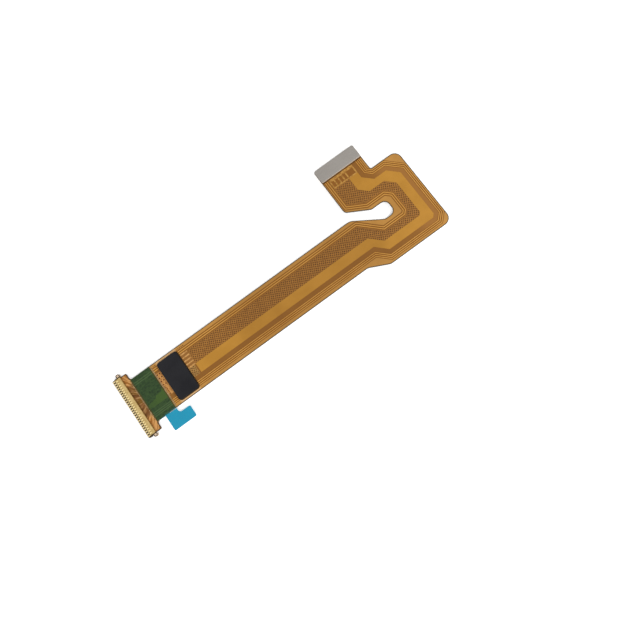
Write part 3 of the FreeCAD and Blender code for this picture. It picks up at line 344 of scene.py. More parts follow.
def maskFinish():
    mask = Look("greenMask", CoatWeight=0.06, CoatRoughness=0.1, Roughness=0.36, SpecularIORLevel=0.12)
    low, high = spanOf("solder_mask")
    across = mask.y - (low.y + high.y) / 2
    inward = high.x - mask.x
    grain = mask.noise(maskSizes["grain"], 3.0, 0.6)
    ripple = mask.noise(maskSizes["ripple"], 1.0, 0.5, mask.stretched(0.35, 1.4, 1, math.radians(40)))
    lines = 0.0
    for name in traces:
        bottom, top = acrossAt(name, -1)
        lines = mask.band(mask.y, bottom, top, maskSizes["lineWide"]) + lines
    # the copper patch under the mask: a tail along the strip that steps up towards the pad
    top = maskSizes["patchTop"]
    for start, end, height in maskSizes["climbs"]:
        top = top + mask.rise(inward, start, end, 0, height)
    paler = mask.rise(inward, *maskSizes["paler"])
    patch = mask.rise(top - across, -maskSizes["topSoft"], maskSizes["topSoft"])
    patch = patch * mask.riseFrom(across, maskSizes["patchLow"], (-maskSizes["lowSoft"], 0))
    mottle = mask.rise(grain * 0.6 + ripple * 0.4, *maskSizes["mottleSpan"])
    base = mask.mix(mottle, tone(*maskSizes["deep"]), tone(*maskSizes["green"]))
    base = mask.mix(lines * maskSizes["lineShare"], base, tone(*maskSizes["line"]))
    base = mask.mix(patch * paler * maskSizes["patchShare"], base, tone(*maskSizes["patch"]))
    spot = mask.node("ShaderNodeCombineXYZ", None, {0: inward, 1: across})
    dots = 0.0
    for place in maskSizes["holes"]:
        gap = mask.node("ShaderNodeVectorMath", {"operation": "DISTANCE"}, {0: spot, 1: (*place, 0)},
                        output="Value")
        dots = mask.rise(gap, maskSizes["hole"] / 2, maskSizes["hole"], 1, 0) + dots
    base = mask.mix(dots * maskSizes["holeShare"], base, tone(*maskSizes["dot"]))
    right = mask.rise(inward, *maskSizes["rightEnd"], 0, maskSizes["endShare"])
    left = mask.riseFrom(mask.x, low.x, maskSizes["leftEnd"], 0, maskSizes["endShare"])
    base = mask.mix(right.most(left), base, tone(*maskSizes["rim"]))
    # the blue tab glows through the film's edge above it
    glow = mask.rise(mask.y, low.y + maskSizes["tabReach"], low.y)
    glow = glow * mask.riseFrom(mask.x, spanOf("pull_tab")[0].x, maskSizes["tabSpan"])
    base = mask.mix(glow * maskSizes["tabShare"], base, tone(*maskSizes["tab"]))
    height = lines + patch * maskSizes["patchRise"] + grain * maskSizes["grainRise"] - dots
    mask.feed(BaseColor=base, Normal=mask.relief(height, 0.02, 0.5))
    return mask.material


# pad, steel, plate, tab

partTones = {
    # the last pair here is the pad's painted shadow
    "foam": (34, 34, 37), "foamDark": (23, 23, 26), "liner": (74, 53, 18), "linerDark": (54, 37, 10),
    "steel": (148, 143, 137), "steelDark": (131, 126, 120),
    # painted shade and a painted highlight for the steel's rounded edge
    "steelSide": (62, 54, 48), "steelPale": (206, 190, 170),
    "plate": (104, 85, 78), "plateDark": (88, 71, 64),
    # bond: partly adhesive, partly painted shadow below the steel's edge
    "adhesive": (150, 120, 80), "bond": (92, 60, 22), "bondDark": (68, 43, 15),
    # rim: partly bare film, partly painted edge shade; the flange's tone is a painted shadow
    "rim": (92, 76, 50), "rimDark": (74, 58, 34), "flangeRim": (58, 40, 20),
    # the mask's painted highlight
    "squeeze": (206, 182, 140), "squeezeDark": (122, 100, 58),
    # the first pair here is painted shade close to the traces
    "etched": (122, 74, 22), "etchedDark": (108, 64, 16), "via": (92, 44, 16), "viaDark": (66, 30, 11),
    "tab": (6, 140, 171), "tabDark": (2, 130, 161),
}


grainSizes = {"cloud": 30, "grainShare": 0.6, "cloudShare": 0.4, "span": (0.35, 0.65)}


def grainyFinish(name, pale, dark, size, depth, **surface):
    # a fine grain of the given size, in clouds that are many times wider
    finish = Look(name, **surface)
    grain = finish.noise(size, 4.0, 0.65)
    cloud = finish.noise(size * grainSizes["cloud"], 2.0)
    blend = grain * grainSizes["grainShare"] + cloud * grainSizes["cloudShare"]
    share = finish.rise(blend, *grainSizes["span"])
    finish.feed(BaseColor=finish.mix(share, tone(*partTones[dark]), tone(*partTones[pale])))
    finish.feed(Normal=finish.relief(grain, depth, 0.6))
    return finish.material


steelSizes = {
    "streak": 1.0, "drawn": (0.35, 24, 24), "streakSpan": (0.3, 0.7), "streakShare": 0.4,
    "cloud": 4.0, "cloudShare": 0.6, "rimSpan": (-0.07, -0.012), "paleSpan": (0.1, 0.25),
}


def steelFinish():
    steel = Look("brushedSteel", Metallic=0.5)
    low, high = spanOf("plug_stiffener")
    streaks = steel.noise(steelSizes["streak"], 4.0, 0.7, steel.stretched(*steelSizes["drawn"]))
    cloud = steel.noise(steelSizes["cloud"], 2.0)
    share = steel.rise(streaks, *steelSizes["streakSpan"])
    blend = share * steelSizes["streakShare"] + cloud * steelSizes["cloudShare"]
    shown = steel.mix(blend, tone(*partTones["steelDark"]), tone(*partTones["steel"]))
    # painted shade on the rounded edge, and a painted highlight along the side that faces the traces
    side = steel.riseFrom(steel.z, high.z, steelSizes["rimSpan"], 1, 0)
    edge = steel.mix(steel.riseFrom(steel.y, low.y, steelSizes["paleSpan"]),
                     tone(*partTones["steelPale"]), tone(*partTones["steelSide"]))
    steel.feed(BaseColor=steel.mix(side, shown, edge))
    steel.feed(Roughness=0.42 + share * 0.1, Normal=steel.relief(streaks, 0.002, 0.4))
    return steel.material


# connectors

metalTones = {
    # the shell's ridges get a painted highlight, its dimples painted shade
    "gold": (195, 169, 112), "goldDim": (173, 145, 86), "ridge": (230, 208, 148), "dimple": (150, 125, 70),
    "skirt": (150, 116, 58), "tip": (227, 209, 164), "tipDim": (200, 175, 122),
    "tin": (112, 92, 70), "tinDim": (72, 56, 42), "dish": (214, 194, 170), "dishDim": (176, 152, 124),
    "sooty": (40, 27, 10), "fold": (70, 54, 42), "foldDim": (42, 30, 22),
    "pin": (206, 204, 196), "pinDim": (150, 144, 132),
    "resin": (30, 30, 33), "resinPale": (42, 42, 46),
    "combResin": (40, 28, 8), "combResinPale": (54, 39, 14),
}


def metalFinish(name, bright, dim, metallic, roughness, size):
    metal = Look(name, Metallic=metallic)
    wear = metal.noise(size, 3.0, 0.6)
    share = metal.rise(wear, 0.3, 0.7)
    metal.feed(BaseColor=metal.mix(share, tone(*metalTones[dim]), tone(*metalTones[bright])))
    metal.feed(Roughness=roughness + share * 0.08, Normal=metal.relief(wear, 0.003, 0.4))
    return metal.material


combSizes = {
    "contacts": 26, "contact": 0.25, "front": (0.4, 0.62), "frontShare": 0.9, "sunk": (-0.03, -0.012),
    "hollow": (0.12, 0.3), "wearSpan": (0.35, 0.65), "skirt": (-0.1, 0),
    "notch": (0.2, 0.28), "notchReach": (0.08, 0.13), "notchShare": 0.9,
    "barSpan": (-0.3, -0.12), "earSpan": (-0.08, -0.03),
}


def shellFinish():
    # the comb's shell: a painted highlight on the ridge between two dimples, painted shade in the dimples, a
    # smooth back, a dim skirt
    shell = Look("combShell", Metallic=0.25)
    low, high = spanOf("comb_shell")
    wear = shell.noise(0.5, 3.0, 0.6)
    front = shell.riseFrom(shell.x, low.x, combSizes["front"], 1, 0)
    # painted shade where the shell sinks below its top
    sunk = shell.riseFrom(shell.z, high.z, combSizes["sunk"], 1, 0)
    # level with each contact the front is painted dimmer as shade, between two it gets a painted highlight as
    # a ridge
    first, last = spanOf("comb_contacts")
    width = combSizes["contact"]
    pitch = (last.y - first.y - width) / (combSizes["contacts"] - 1)
    along = (shell.y - first.y - width / 2) / pitch
    wave = along.reckon("PINGPONG", along, 0.5)
    hollow = shell.rise(wave, *combSizes["hollow"], 1, 0)
    worn = shell.rise(wear, *combSizes["wearSpan"])
    plain = shell.mix(worn, tone(*metalTones["goldDim"]), tone(*metalTones["gold"]))
    ridged = shell.mix(hollow, tone(*metalTones["ridge"]), tone(*metalTones["goldDim"]))
    shown = shell.mix(front * combSizes["frontShare"], plain, ridged)
    shown = shell.mix(sunk * front, shown, tone(*metalTones["dimple"]))
    # the front edge is cut back between the contacts, and painted dark there as painted shade
    notch = shell.rise(wave, *combSizes["notch"])
    notch = notch * shell.riseFrom(shell.x, low.x, combSizes["notchReach"], 1, 0)
    shown = shell.mix(notch * combSizes["notchShare"], shown, tone(*metalTones["sooty"]))
    skirt = shell.riseFrom(shell.x, high.x, combSizes["skirt"])
    shown = shell.mix(skirt, shown, tone(*metalTones["skirt"]))
    shell.feed(BaseColor=shown, Roughness=0.34 + wear * 0.1, Normal=shell.relief(wear, 0.004, 0.4))
    return shell.material


def barFinish():
    # grey-brown plate, with painted shade where it is hidden between the contacts
    bar = Look("combBar", Metallic=0.3, SpecularIORLevel=0.1)
    wear = bar.noise(0.3, 3.0, 0.6)
    plate = bar.mix(wear, tone(*metalTones["tinDim"]), tone(*metalTones["tin"]))
    shadedBetween = bar.riseFrom(bar.z, spanOf("comb_bar")[1].z, combSizes["barSpan"])
    bar.feed(BaseColor=bar.mix(shadedBetween, plate, tone(*metalTones["sooty"])))
    bar.feed(Roughness=0.4 + wear * 0.1, Normal=bar.relief(wear, 0.003, 0.4))
    return bar.material


def earFinish(name):
    # a dark folded rim round a pale dish
    ear = Look(name, Metallic=0.3)
    wear = ear.noise(0.3, 3.0, 0.6)
    rim = ear.mix(wear, tone(*metalTones["foldDim"]), tone(*metalTones["fold"]))
    dish = ear.mix(wear, tone(*metalTones["dishDim"]), tone(*metalTones["dish"]))
    raised = ear.riseFrom(ear.z, spanOf("comb_ear_far")[1].z, combSizes["earSpan"])
    ear.feed(BaseColor=ear.mix(raised, dish, rim))
    ear.feed(Roughness=0.36 + wear * 0.1, Normal=ear.relief(wear, 0.004, 0.4))
    return ear.material


def resinFinish(name, dark, pale, shine):
    resin = Look(name, SpecularIORLevel=shine)
    grain = resin.noise(0.06, 3.0)
    resin.feed(BaseColor=resin.mix(grain, tone(*metalTones[dark]), tone(*metalTones[pale])))
    resin.feed(Roughness=0.5 + grain * 0.15, Normal=resin.relief(grain, 0.003, 0.5))
    return resin.material


gold = copperFinish("goldCopper", "gold", "goldDim")
trace = copperFinish("traceCopper", "trace", "traceDim")
margin = copperFinish("marginCopper", "margin", "marginDim", beside="foam_pad")
lead = copperFinish("leadCopper", "lead", "leadDim")
meshCopper = copperFinish("meshCopper", "meshLine", "meshDim", 0.6)
patchCopper = copperFinish("patchCopper", "patch", "patchDim", 0.8)
pinPlate = metalFinish("pinPlate", "pin", "pinDim", 0.7, 0.26, 0.2)
tipPlate = metalFinish("tipPlate", "tip", "tipDim", 0.2, 0.34, 0.2)
ear = earFinish("combEar")
finishes = {
    "base_film": filmFinish(), "shield_film": blackFilmFinish(), "solder_mask": maskFinish(),
    "ground_plane": gold, "entry_patch": patchCopper, "shield_mesh": meshCopper,
    "via_pads": copperFinish("viaCopper", "via", "viaDim", 0.8),
    "neck_ladder": copperFinish("rungCopper", "rung", "rungDim", 0.9),
    "entry_lines": copperFinish("barCopper", "bar", "barDim", 0.9),
    "slot_margin": margin, "rim_margin": margin,
    "foam_pad": grainyFinish("padFoam", "foam", "foamDark", 0.09, 0.02,
                             Roughness=0.85, SpecularIORLevel=0.15),
    "plug_stiffener": steelFinish(),
    "end_plate": grainyFinish("brownPlate", "plate", "plateDark", 0.12, 0.005,
                              Roughness=0.45, CoatWeight=0.2),
    "plate_adhesive": grainyFinish("tapeAdhesive", "adhesive", "adhesive", 0.2, 0.004, Roughness=0.5),
    # the bond line under the steel's lower edge: partly adhesive, partly painted shadow
    "stiffener_bond": grainyFinish("bondFilmAndShadow", "bond", "bondDark", 0.1, 0.004,
                                   Roughness=0.5, SpecularIORLevel=0.1),
    "pull_tab": grainyFinish("tabFilm", "tab", "tabDark", 0.1, 0.003,
                             Roughness=0.4, CoatWeight=0.12, SpecularIORLevel=0.35),
    "comb_housing": resinFinish("combResin", "combResin", "combResinPale", 0.04),
    "plug_housing": resinFinish("mouldedResin", "resin", "resinPale", 0.25),
    "comb_contacts": tipPlate, "comb_shell": shellFinish(), "fan_out": fanFinish(),
    "comb_bar": barFinish(), "comb_ear_near": ear, "comb_ear_far": ear,
    "plug_contacts_near": pinPlate, "plug_contacts_far": pinPlate,
    "plug_clip_left": pinPlate, "plug_clip_right": pinPlate,
}
for name in traces:
    finishes[name] = trace
for name in ("neck_leads", "bent_lead", "neck_patch_left", "neck_patch_right", "bay_lines"):
    finishes[name] = lead


def dress(item, material):
    item.data.materials.clear()
    item.data.materials.append(material)


for name, item in nodes.items():
    dress(item, finishes[name])
print("finishes on", len(finishes), "nodes")


# sheets cut from the CAD nodes' meshes

def weldedCopy(name):
    # a node's mesh with its corners shared between the faces
    work = bmesh.new()
    work.from_mesh(nodes[name].data)
    bmesh.ops.remove_doubles(work, verts=work.verts, dist=weld)
    return work


def mergeFlat(work, degrees=0.5):
    bmesh.ops.dissolve_limit(work, angle_limit=math.radians(degrees), verts=work.verts, edges=work.edges)


def topSheet(name):
    # the flat top of a node as a sheet of one or more faces
    work = weldedCopy(name)
    top = max(v.co.z for v in work.verts)
    lower = [f for f in work.faces if min(v.co.z for v in f.verts) < top - weld]
    bmesh.ops.delete(work, geom=lower, context="FACES")
    return work


def regionSheet(name):
    # the node's top as one sheet, its openings filled
    work = topSheet(name)
    loops = edgeLoops([e for e in work.edges if e.is_boundary])
    loops.sort(key=lambda loop: sum(e.calc_length() for e in loop))
    for loop in loops[:-1]:
        bmesh.ops.holes_fill(work, edges=loop, sides=0)
    mergeFlat(work, 1)
    for face in work.faces:
        if face.normal.z < 0:
            face.normal_flip()
    return work


def edgeLoops(edges):
    # boundary edges sorted into closed loops
    left = dict.fromkeys(edges)
    loops = []
    while left:
        loop = [left.popitem()[0]]
        reached = list(loop[0].verts)
        while reached:
            vert = reached.pop()
            for edge in vert.link_edges:
                if edge in left:
                    del left[edge]
                    loop.append(edge)
                    reached.append(edge.other_vert(vert))
        loops.append(loop)
    return loops


def insetStrip(work, wide):
    # the faces of a strip along the sheet's outline, inside it or, where wide is below 0, outside it
    return bmesh.ops.inset_region(work, faces=work.faces[:], thickness=wide * mm,
                                  use_boundary=True, use_even_offset=True)["faces"]


def keepStrip(work, wide):
    strip = set(insetStrip(work, wide))
    bmesh.ops.delete(work, geom=[f for f in work.faces if f not in strip], context="FACES")


def raiseSheet(work, low, high):
    # a flat sheet given its thickness between two heights
    for vert in work.verts:
        vert.co.z = low
    grown = bmesh.ops.extrude_face_region(work, geom=work.faces[:])["geom"]
    for item in grown:
        if isinstance(item, bmesh.types.BMVert):
            item.co.z = high
    bmesh.ops.recalc_face_normals(work, faces=work.faces)


def meshObject(name, work):
    data = bpy.data.meshes.new(name)
    work.to_mesh(data)
    work.free()
    item = bpy.data.objects.new(name, data)
    bpy.context.scene.collection.objects.link(item)
    return item


# the hair-fine mesh, in the outline of the CAD node that it replaces

meshSizes = {
    "pitch": 0.372, "line": 0.15, "border": 0.1, "ground": 0.006, "goldReach": 0.2, "proud": 0.0015,
    "turn": 45, "spare": 1.02, "probe": 10,
    "groundTone": (60, 34, 7), "blotch": 0.7, "blotchSpan": (0.4, 0.7), "blotchShare": 0.35,
}


class Graph:
    # a geometry tree: nodes with their settings and sockets, and named inputs
    def __init__(self, name, inputs):
        self.tree = bpy.data.node_groups.new(name, "GeometryNodeTree")
        self.tree.interface.new_socket("Geometry", in_out="OUTPUT", socket_type="NodeSocketGeometry")
        self.tree.interface.new_socket("Geometry", in_out="INPUT", socket_type="NodeSocketGeometry")
        self.sockets = {}
        for label, value in inputs.items():
            made = self.tree.interface.new_socket(label, in_out="INPUT", socket_type="NodeSocketFloat")
            self.sockets[label] = (made.identifier, value)
        self.start = self.tree.nodes.new("NodeGroupInput")
        self.end = self.tree.nodes.new("NodeGroupOutput")

    def given(self, label):
        return self.start.outputs[label]

    def node(self, kind, settings=None, sockets=None, output=0):
        made = self.tree.nodes.new(kind)
        for key, value in (settings or {}).items():
            setattr(made, key, value)
        for key, value in (sockets or {}).items():
            if isinstance(value, bpy.types.NodeSocket):
                self.tree.links.new(value, made.inputs[key])
            else:
                made.inputs[key].default_value = value
        return made.outputs[output]

    def reckon(self, operation, first, second=0.0):
        return self.node("ShaderNodeMath", {"operation": operation}, {0: first, 1: second})

    def finish(self, geometry, material):
        real = self.node("GeometryNodeRealizeInstances", None, {0: geometry})
        painted = self.node("GeometryNodeSetMaterial", None, {"Geometry": real, "Material": material})
        self.tree.links.new(painted, self.end.inputs[0])

    def applied(self, host, name, given):
        # runs the tree on the host and gives the result as a plain mesh object
        modifier = host.modifiers.new("grow", "NODES")
        modifier.node_group = self.tree
        for label, (identifier, value) in self.sockets.items():
            modifier[identifier] = given.get(label, value)
        host.update_tag()
        bpy.context.view_layer.update()
        shown = host.evaluated_get(bpy.context.evaluated_depsgraph_get())
        data = bpy.data.meshes.new_from_object(shown)
        host.modifiers.remove(modifier)
        item = bpy.data.objects.new(name, data)
        bpy.context.scene.collection.objects.link(item)
        return item


def latticeGraph(material):
    # square rings on a turned lattice, kept where the sheet lies under their middles
    turned = (0, 0, math.radians(meshSizes["turn"]))
    graph = Graph("fineLattice", {"pitch": meshSizes["pitch"] * mm, "line": meshSizes["line"] * mm,
                                  "thickness": 0.0, "reach": 0.0, "middleX": 0.0, "middleY": 0.0})
    sheet = graph.given("Geometry")
    pitch, reach = graph.given("pitch"), graph.given("reach")
    count = graph.reckon("CEIL", graph.reckon("DIVIDE", reach, pitch))
    side = graph.reckon("MULTIPLY", graph.reckon("SUBTRACT", count, 1.0), pitch)
    grid = graph.node("GeometryNodeMeshGrid", None,
                      {"Size X": side, "Size Y": side, "Vertices X": count, "Vertices Y": count})
    middle = graph.node("ShaderNodeCombineXYZ", None, {0: graph.given("middleX"), 1: graph.given("middleY")})
    lattice = graph.node("GeometryNodeTransform", None,
                         {"Geometry": grid, "Translation": middle, "Rotation": turned})
    points = graph.node("GeometryNodeMeshToPoints", None, {"Mesh": lattice})
    spot = graph.node("GeometryNodeInputPosition")
    probe = meshSizes["probe"] * mm
    above = graph.node("ShaderNodeVectorMath", {"operation": "ADD"}, {0: spot, 1: (0, 0, probe)})
    ray = graph.node("GeometryNodeRaycast", None,
                     {"Target Geometry": sheet, "Source Position": above, "Ray Direction": (0, 0, -1),
                      "Ray Length": 2 * probe})
    kept = graph.node("GeometryNodeSeparateGeometry", {"domain": "POINT"},
                      {"Geometry": points, "Selection": ray})
    outer = graph.node("GeometryNodeCurvePrimitiveQuadrilateral", None, {"Width": pitch, "Height": pitch})
    hole = graph.reckon("SUBTRACT", pitch, graph.given("line"))
    inner = graph.node("GeometryNodeCurvePrimitiveQuadrilateral", None, {"Width": hole, "Height": hole})
    pair = graph.tree.nodes.new("GeometryNodeJoinGeometry")
    for source in (outer, inner):
        graph.tree.links.new(source, pair.inputs[0])
    flat = graph.node("GeometryNodeFillCurve", {"mode": "NGONS"}, {0: pair.outputs[0]})
    ring = graph.node("GeometryNodeExtrudeMesh", {"mode": "FACES"},
                      {"Mesh": flat, "Offset Scale": graph.given("thickness"), "Individual": False})
    copies = graph.node("GeometryNodeInstanceOnPoints", None,
                        {"Points": kept, "Instance": ring, "Rotation": turned})
    graph.finish(copies, material)
    return graph


def meshFloorFinish():
    look = Look("meshGround", Roughness=0.4, CoatWeight=0.03, CoatRoughness=0.15, SpecularIORLevel=0.2)
    blotch = look.rise(look.noise(meshSizes["blotch"], 2.0), *meshSizes["blotchSpan"])
    share = blotch * meshSizes["blotchShare"]
    look.feed(BaseColor=look.mix(share, tone(*meshSizes["groundTone"]), tone(*filmSizes["dim"])))
    return look.material


def buildFineMesh(graph, region, name, copper, floorFinish):
    # rings on the region, its border line, and the dark film seen through the openings
    low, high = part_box(region)
    size = high - low
    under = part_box("base_film")[1].z > high.z
    sheet = meshObject("meshSheet", regionSheet(region))
    rings = graph.applied(sheet, name, {
        "thickness": -size.z if under else size.z,
        "reach": (size.x + size.y) / math.sqrt(2) * meshSizes["spare"],
        "middleX": (low.x + high.x) / 2, "middleY": (low.y + high.y) / 2,
    })
    dress(rings, copper)
    trim(rings.data, sheet.data)
    if under:
        rings.data.flip_normals()
    rings.data.transform(Matrix.Translation((0, 0, high.z if under else low.z)))
    border = bmesh.new()
    border.from_mesh(sheet.data)
    keepStrip(border, meshSizes["border"])
    # where it runs along the plain copper, the border has that copper's tone
    plain = bmesh.new()
    plain.from_mesh(nodes["ground_plane"].data)
    tree = BVHTree.FromBMesh(plain)
    plain.free()
    for face in border.faces:
        longest = max(face.edges, key=lambda e: e.calc_length())
        middle = (longest.verts[0].co + longest.verts[1].co) / 2
        face.material_index = int(tree.find_nearest(middle)[3] < meshSizes["goldReach"] * mm)
    # the border stands a hair proud of the rings on the side that shows
    proud = meshSizes["proud"] * mm
    raiseSheet(border, low.z - proud if under else low.z, high.z if under else high.z + proud)
    ground = bmesh.new()
    ground.from_mesh(sheet.data)
    thin = meshSizes["ground"] * mm
    raiseSheet(ground, high.z - thin if under else low.z, high.z if under else low.z + thin)
    bpy.data.objects.remove(sheet)
    pieces = [rings]
    for label, work, materials in (("meshBorder", border, (copper, gold)),
                                   ("meshFloor", ground, (floorFinish,))):
        piece = meshObject(label, work)
        for material in materials:
            piece.data.materials.append(material)
        pieces.append(piece)
    fine = joined(pieces)
    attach(fine, "root")
    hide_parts(region)
    print(name, len(fine.data.polygons), "faces")


def trim(data, sheet):
    # what reaches past the sheet's outline is cut away
    outline = bmesh.new()
    outline.from_mesh(sheet)
    sides = [[vert.co.copy() for vert in edge.verts] for edge in outline.edges if edge.is_boundary]
    outline.free()
    reach = meshSizes["pitch"] * mm * 2
    work = bmesh.new()
    work.from_mesh(data)
    bmesh.ops.triangulate(work, faces=[f for f in work.faces if len(f.verts) > 4])
    for first, last in sides:
        along = (last - first) * Vector((1, 1, 0))
        close = []
        for face in work.faces:
            away = (face.calc_center_median() - first) * Vector((1, 1, 0))
            share = min(1, max(0, away.dot(along) / along.length_squared))
            if (away - along * share).length < reach:
                close.append(face)
        cut = dict.fromkeys(close)
        for face in close:
            cut.update(dict.fromkeys(face.verts))
            cut.update(dict.fromkeys(face.edges))
        bmesh.ops.bisect_plane(work, geom=list(cut), plane_co=first, plane_no=(-along.y, along.x, 0))
    outside = [f for f in work.faces if not within(f.calc_center_median(), sides)]
    bmesh.ops.delete(work, geom=outside, context="FACES")
    work.to_mesh(data)
    work.free()


def within(spot, sides):
    # seen from above: an odd number of sides lies to the right of the spot
    passed = 0
    for first, last in sides:
        if (first.y > spot.y) != (last.y > spot.y):
            share = (spot.y - first.y) / (last.y - first.y)
            passed += spot.x < first.x + (last.x - first.x) * share
    return passed % 2 == 1


def joined(pieces):
    bpy.ops.object.select_all(action="DESELECT")
    for piece in pieces:
        piece.select_set(True)
    bpy.context.view_layer.objects.active = pieces[0]
    bpy.ops.object.join()
    return pieces[0]


lattice = latticeGraph(meshCopper)
meshFloor = meshFloorFinish()
regions = (
    ("shield_mesh", "fineMesh", meshCopper), ("entry_patch", "entryMesh", patchCopper),
    ("neck_patch_left", "leftMesh", lead), ("neck_patch_right", "rightMesh", lead),
)
for region, name, copper in regions:
    buildFineMesh(lattice, region, name, copper, meshFloor)


# edges and small marks: a dark rim of bare film and painted edge shade, rounded pad and plate, the mask's
# painted highlight, painted shade by the traces, the pad's painted shadow, filled holes

edgeSizes = {
    "rimWide": 0.16, "rimThick": 0.004, "foamBevel": 0.13, "steelBevel": 0.12, "bevelSteps": 3, "sharp": 45,
    # painted shade by the traces; its thickness also serves the filled holes
    "etchWide": 0.095, "etchThick": 0.003, "wave": 0.3,
    # sizes for the pad's painted shadow
    "linerWide": 0.12, "linerThick": 0.004, "linerShift": 0.06, "linerAlpha": (0.2, 0.8, 0.6, 0.9),
    # sizes for the mask's painted highlight
    "squeezeWide": 0.24, "squeezeNarrow": 0.13, "squeezeThick": 0.006, "squeezeInset": 0.2,
    "squeezeGap": 0.04, "squeezeAlpha": (0.3, 0.7, 0.25, 0.6),
    "viaLoop": 0.45, "viaSpread": 1.2, "discSides": 16,
    "stitchPitch": 0.38, "stitchRadius": 0.1, "stitchInset": 0.16,
}


def buildRim():
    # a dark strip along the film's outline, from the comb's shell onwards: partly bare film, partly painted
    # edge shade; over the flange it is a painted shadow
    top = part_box("base_film")[1].z
    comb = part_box("comb_shell")[1]
    work = topSheet("base_film")
    mergeFlat(work)
    keepStrip(work, edgeSizes["rimWide"])
    geometry = work.verts[:] + work.edges[:] + work.faces[:]
    bmesh.ops.bisect_plane(work, geom=geometry, plane_co=(comb.x, 0, 0), plane_no=(1, 0, 0), clear_inner=True)
    raiseSheet(work, top, top + edgeSizes["rimThick"] * mm)
    rim = meshObject("filmRim", work)
    look = Look("rimFilmAndShade", Roughness=0.5, SpecularIORLevel=0.2)
    wear = look.noise(0.15, 3.0, 0.6)
    shown = look.mix(wear, tone(*partTones["rimDark"]), tone(*partTones["rim"]))
    # over the flange the strip is a painted shadow
    look.feed(BaseColor=look.mix(fanShare(look), shown, tone(*partTones["flangeRim"])))
    look.feed(Normal=look.relief(wear, 0.003, 0.6))
    dress(rim, look.material)
    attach(rim, "root")


def buildBevelled(node, name, bevel):
    # the node's own form with its upper edges rounded off
    work = weldedCopy(node)
    mergeFlat(work)
    top = max(v.co.z for v in work.verts)
    rim = [e for e in work.edges if all(v.co.z > top - weld for v in e.verts) and e.is_manifold
           and e.calc_face_angle() > math.radians(edgeSizes["sharp"])]
    bmesh.ops.bevel(work, geom=rim, offset=bevel * mm, segments=edgeSizes["bevelSteps"],
                    affect="EDGES", profile=0.5)
    bmesh.ops.recalc_face_normals(work, faces=work.faces)
    piece = meshObject(name, work)
    dress(piece, finishes[node])
    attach(piece, "root")
    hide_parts(node)


def thinFinish(name, tones, alpha, **surface):
    # a thin see-through sheet for painted light and shade, the mask's highlight and the pad's shadow: the
    # paler it is, the less it lets through
    look = Look(name, **surface)
    wave = look.noise(edgeSizes["wave"], 2.0)
    look.feed(BaseColor=look.mix(wave, tone(*partTones[tones + "Dark"]), tone(*partTones[tones])))
    look.feed(Alpha=look.rise(wave, *alpha))
    return look.material


def buildMaskHighlight():
    # painted highlight: a pale see-through line along each end of the mask, where its edge catches the light
    mask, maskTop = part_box("solder_mask")
    inset = edgeSizes["squeezeInset"] * mm
    work = bmesh.new()
    ends = ((mask.x, -1, edgeSizes["squeezeNarrow"]), (maskTop.x, 1, edgeSizes["squeezeWide"]))
    for end, away, wide in ends:
        near = end + away * edgeSizes["squeezeGap"] * mm
        left, right = sorted((near, near + away * wide * mm))
        corners = ((left, mask.y + inset), (right, mask.y + inset), (right, maskTop.y - inset),
                   (left, maskTop.y - inset))
        work.faces.new([work.verts.new((x, y, 0)) for x, y in corners])
    raiseSheet(work, mask.z, mask.z + edgeSizes["squeezeThick"] * mm)
    line = meshObject("maskEdgeHighlight", work)
    dress(line, thinFinish("edgeHighlightFilm", "squeeze", edgeSizes["squeezeAlpha"],
                           Roughness=0.35, SpecularIORLevel=0.3))
    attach(line, "root")


def widened(name, reach):
    # a node's top as a sheet that reaches a little beyond its outline
    work = topSheet(name)
    mergeFlat(work)
    bmesh.ops.delete(work, geom=insetStrip(work, -reach), context="FACES")
    return work


def buildTraceShade():
    # painted shade: the film is painted dark close to each trace, darkening the gaps between them
    finish = grainyFinish("etchedFilm", "etched", "etchedDark", 0.2, 0.003,
                          Roughness=0.45, SpecularIORLevel=0.15)
    for name in traces:
        work = widened(name, edgeSizes["etchWide"])
        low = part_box(name)[0].z
        raiseSheet(work, low, low + edgeSizes["etchThick"] * mm)
        piece = meshObject(name + "_etch", work)
        dress(piece, finish)
        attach(piece, "root")


def buildPadShadow():
    # painted shadow: a dark see-through sheet round the foam pad, shifted right and down, for the pad's
    # shadow on the film
    work = widened("foam_pad", edgeSizes["linerWide"])
    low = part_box("foam_pad")[0].z
    for vert in work.verts:
        vert.co.x += edgeSizes["linerShift"] * mm
        vert.co.y -= edgeSizes["linerShift"] * mm
    raiseSheet(work, low, low + edgeSizes["linerThick"] * mm)
    piece = meshObject("padShadow", work)
    dress(piece, thinFinish("padShadowFilm", "liner", edgeSizes["linerAlpha"],
                            Roughness=0.5, SpecularIORLevel=0.15))
    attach(piece, "root")


def addDisc(work, x, y, radius):
    bmesh.ops.create_circle(work, cap_ends=True, segments=edgeSizes["discSides"], radius=radius,
                            matrix=Matrix.Translation((x, y, 0)))


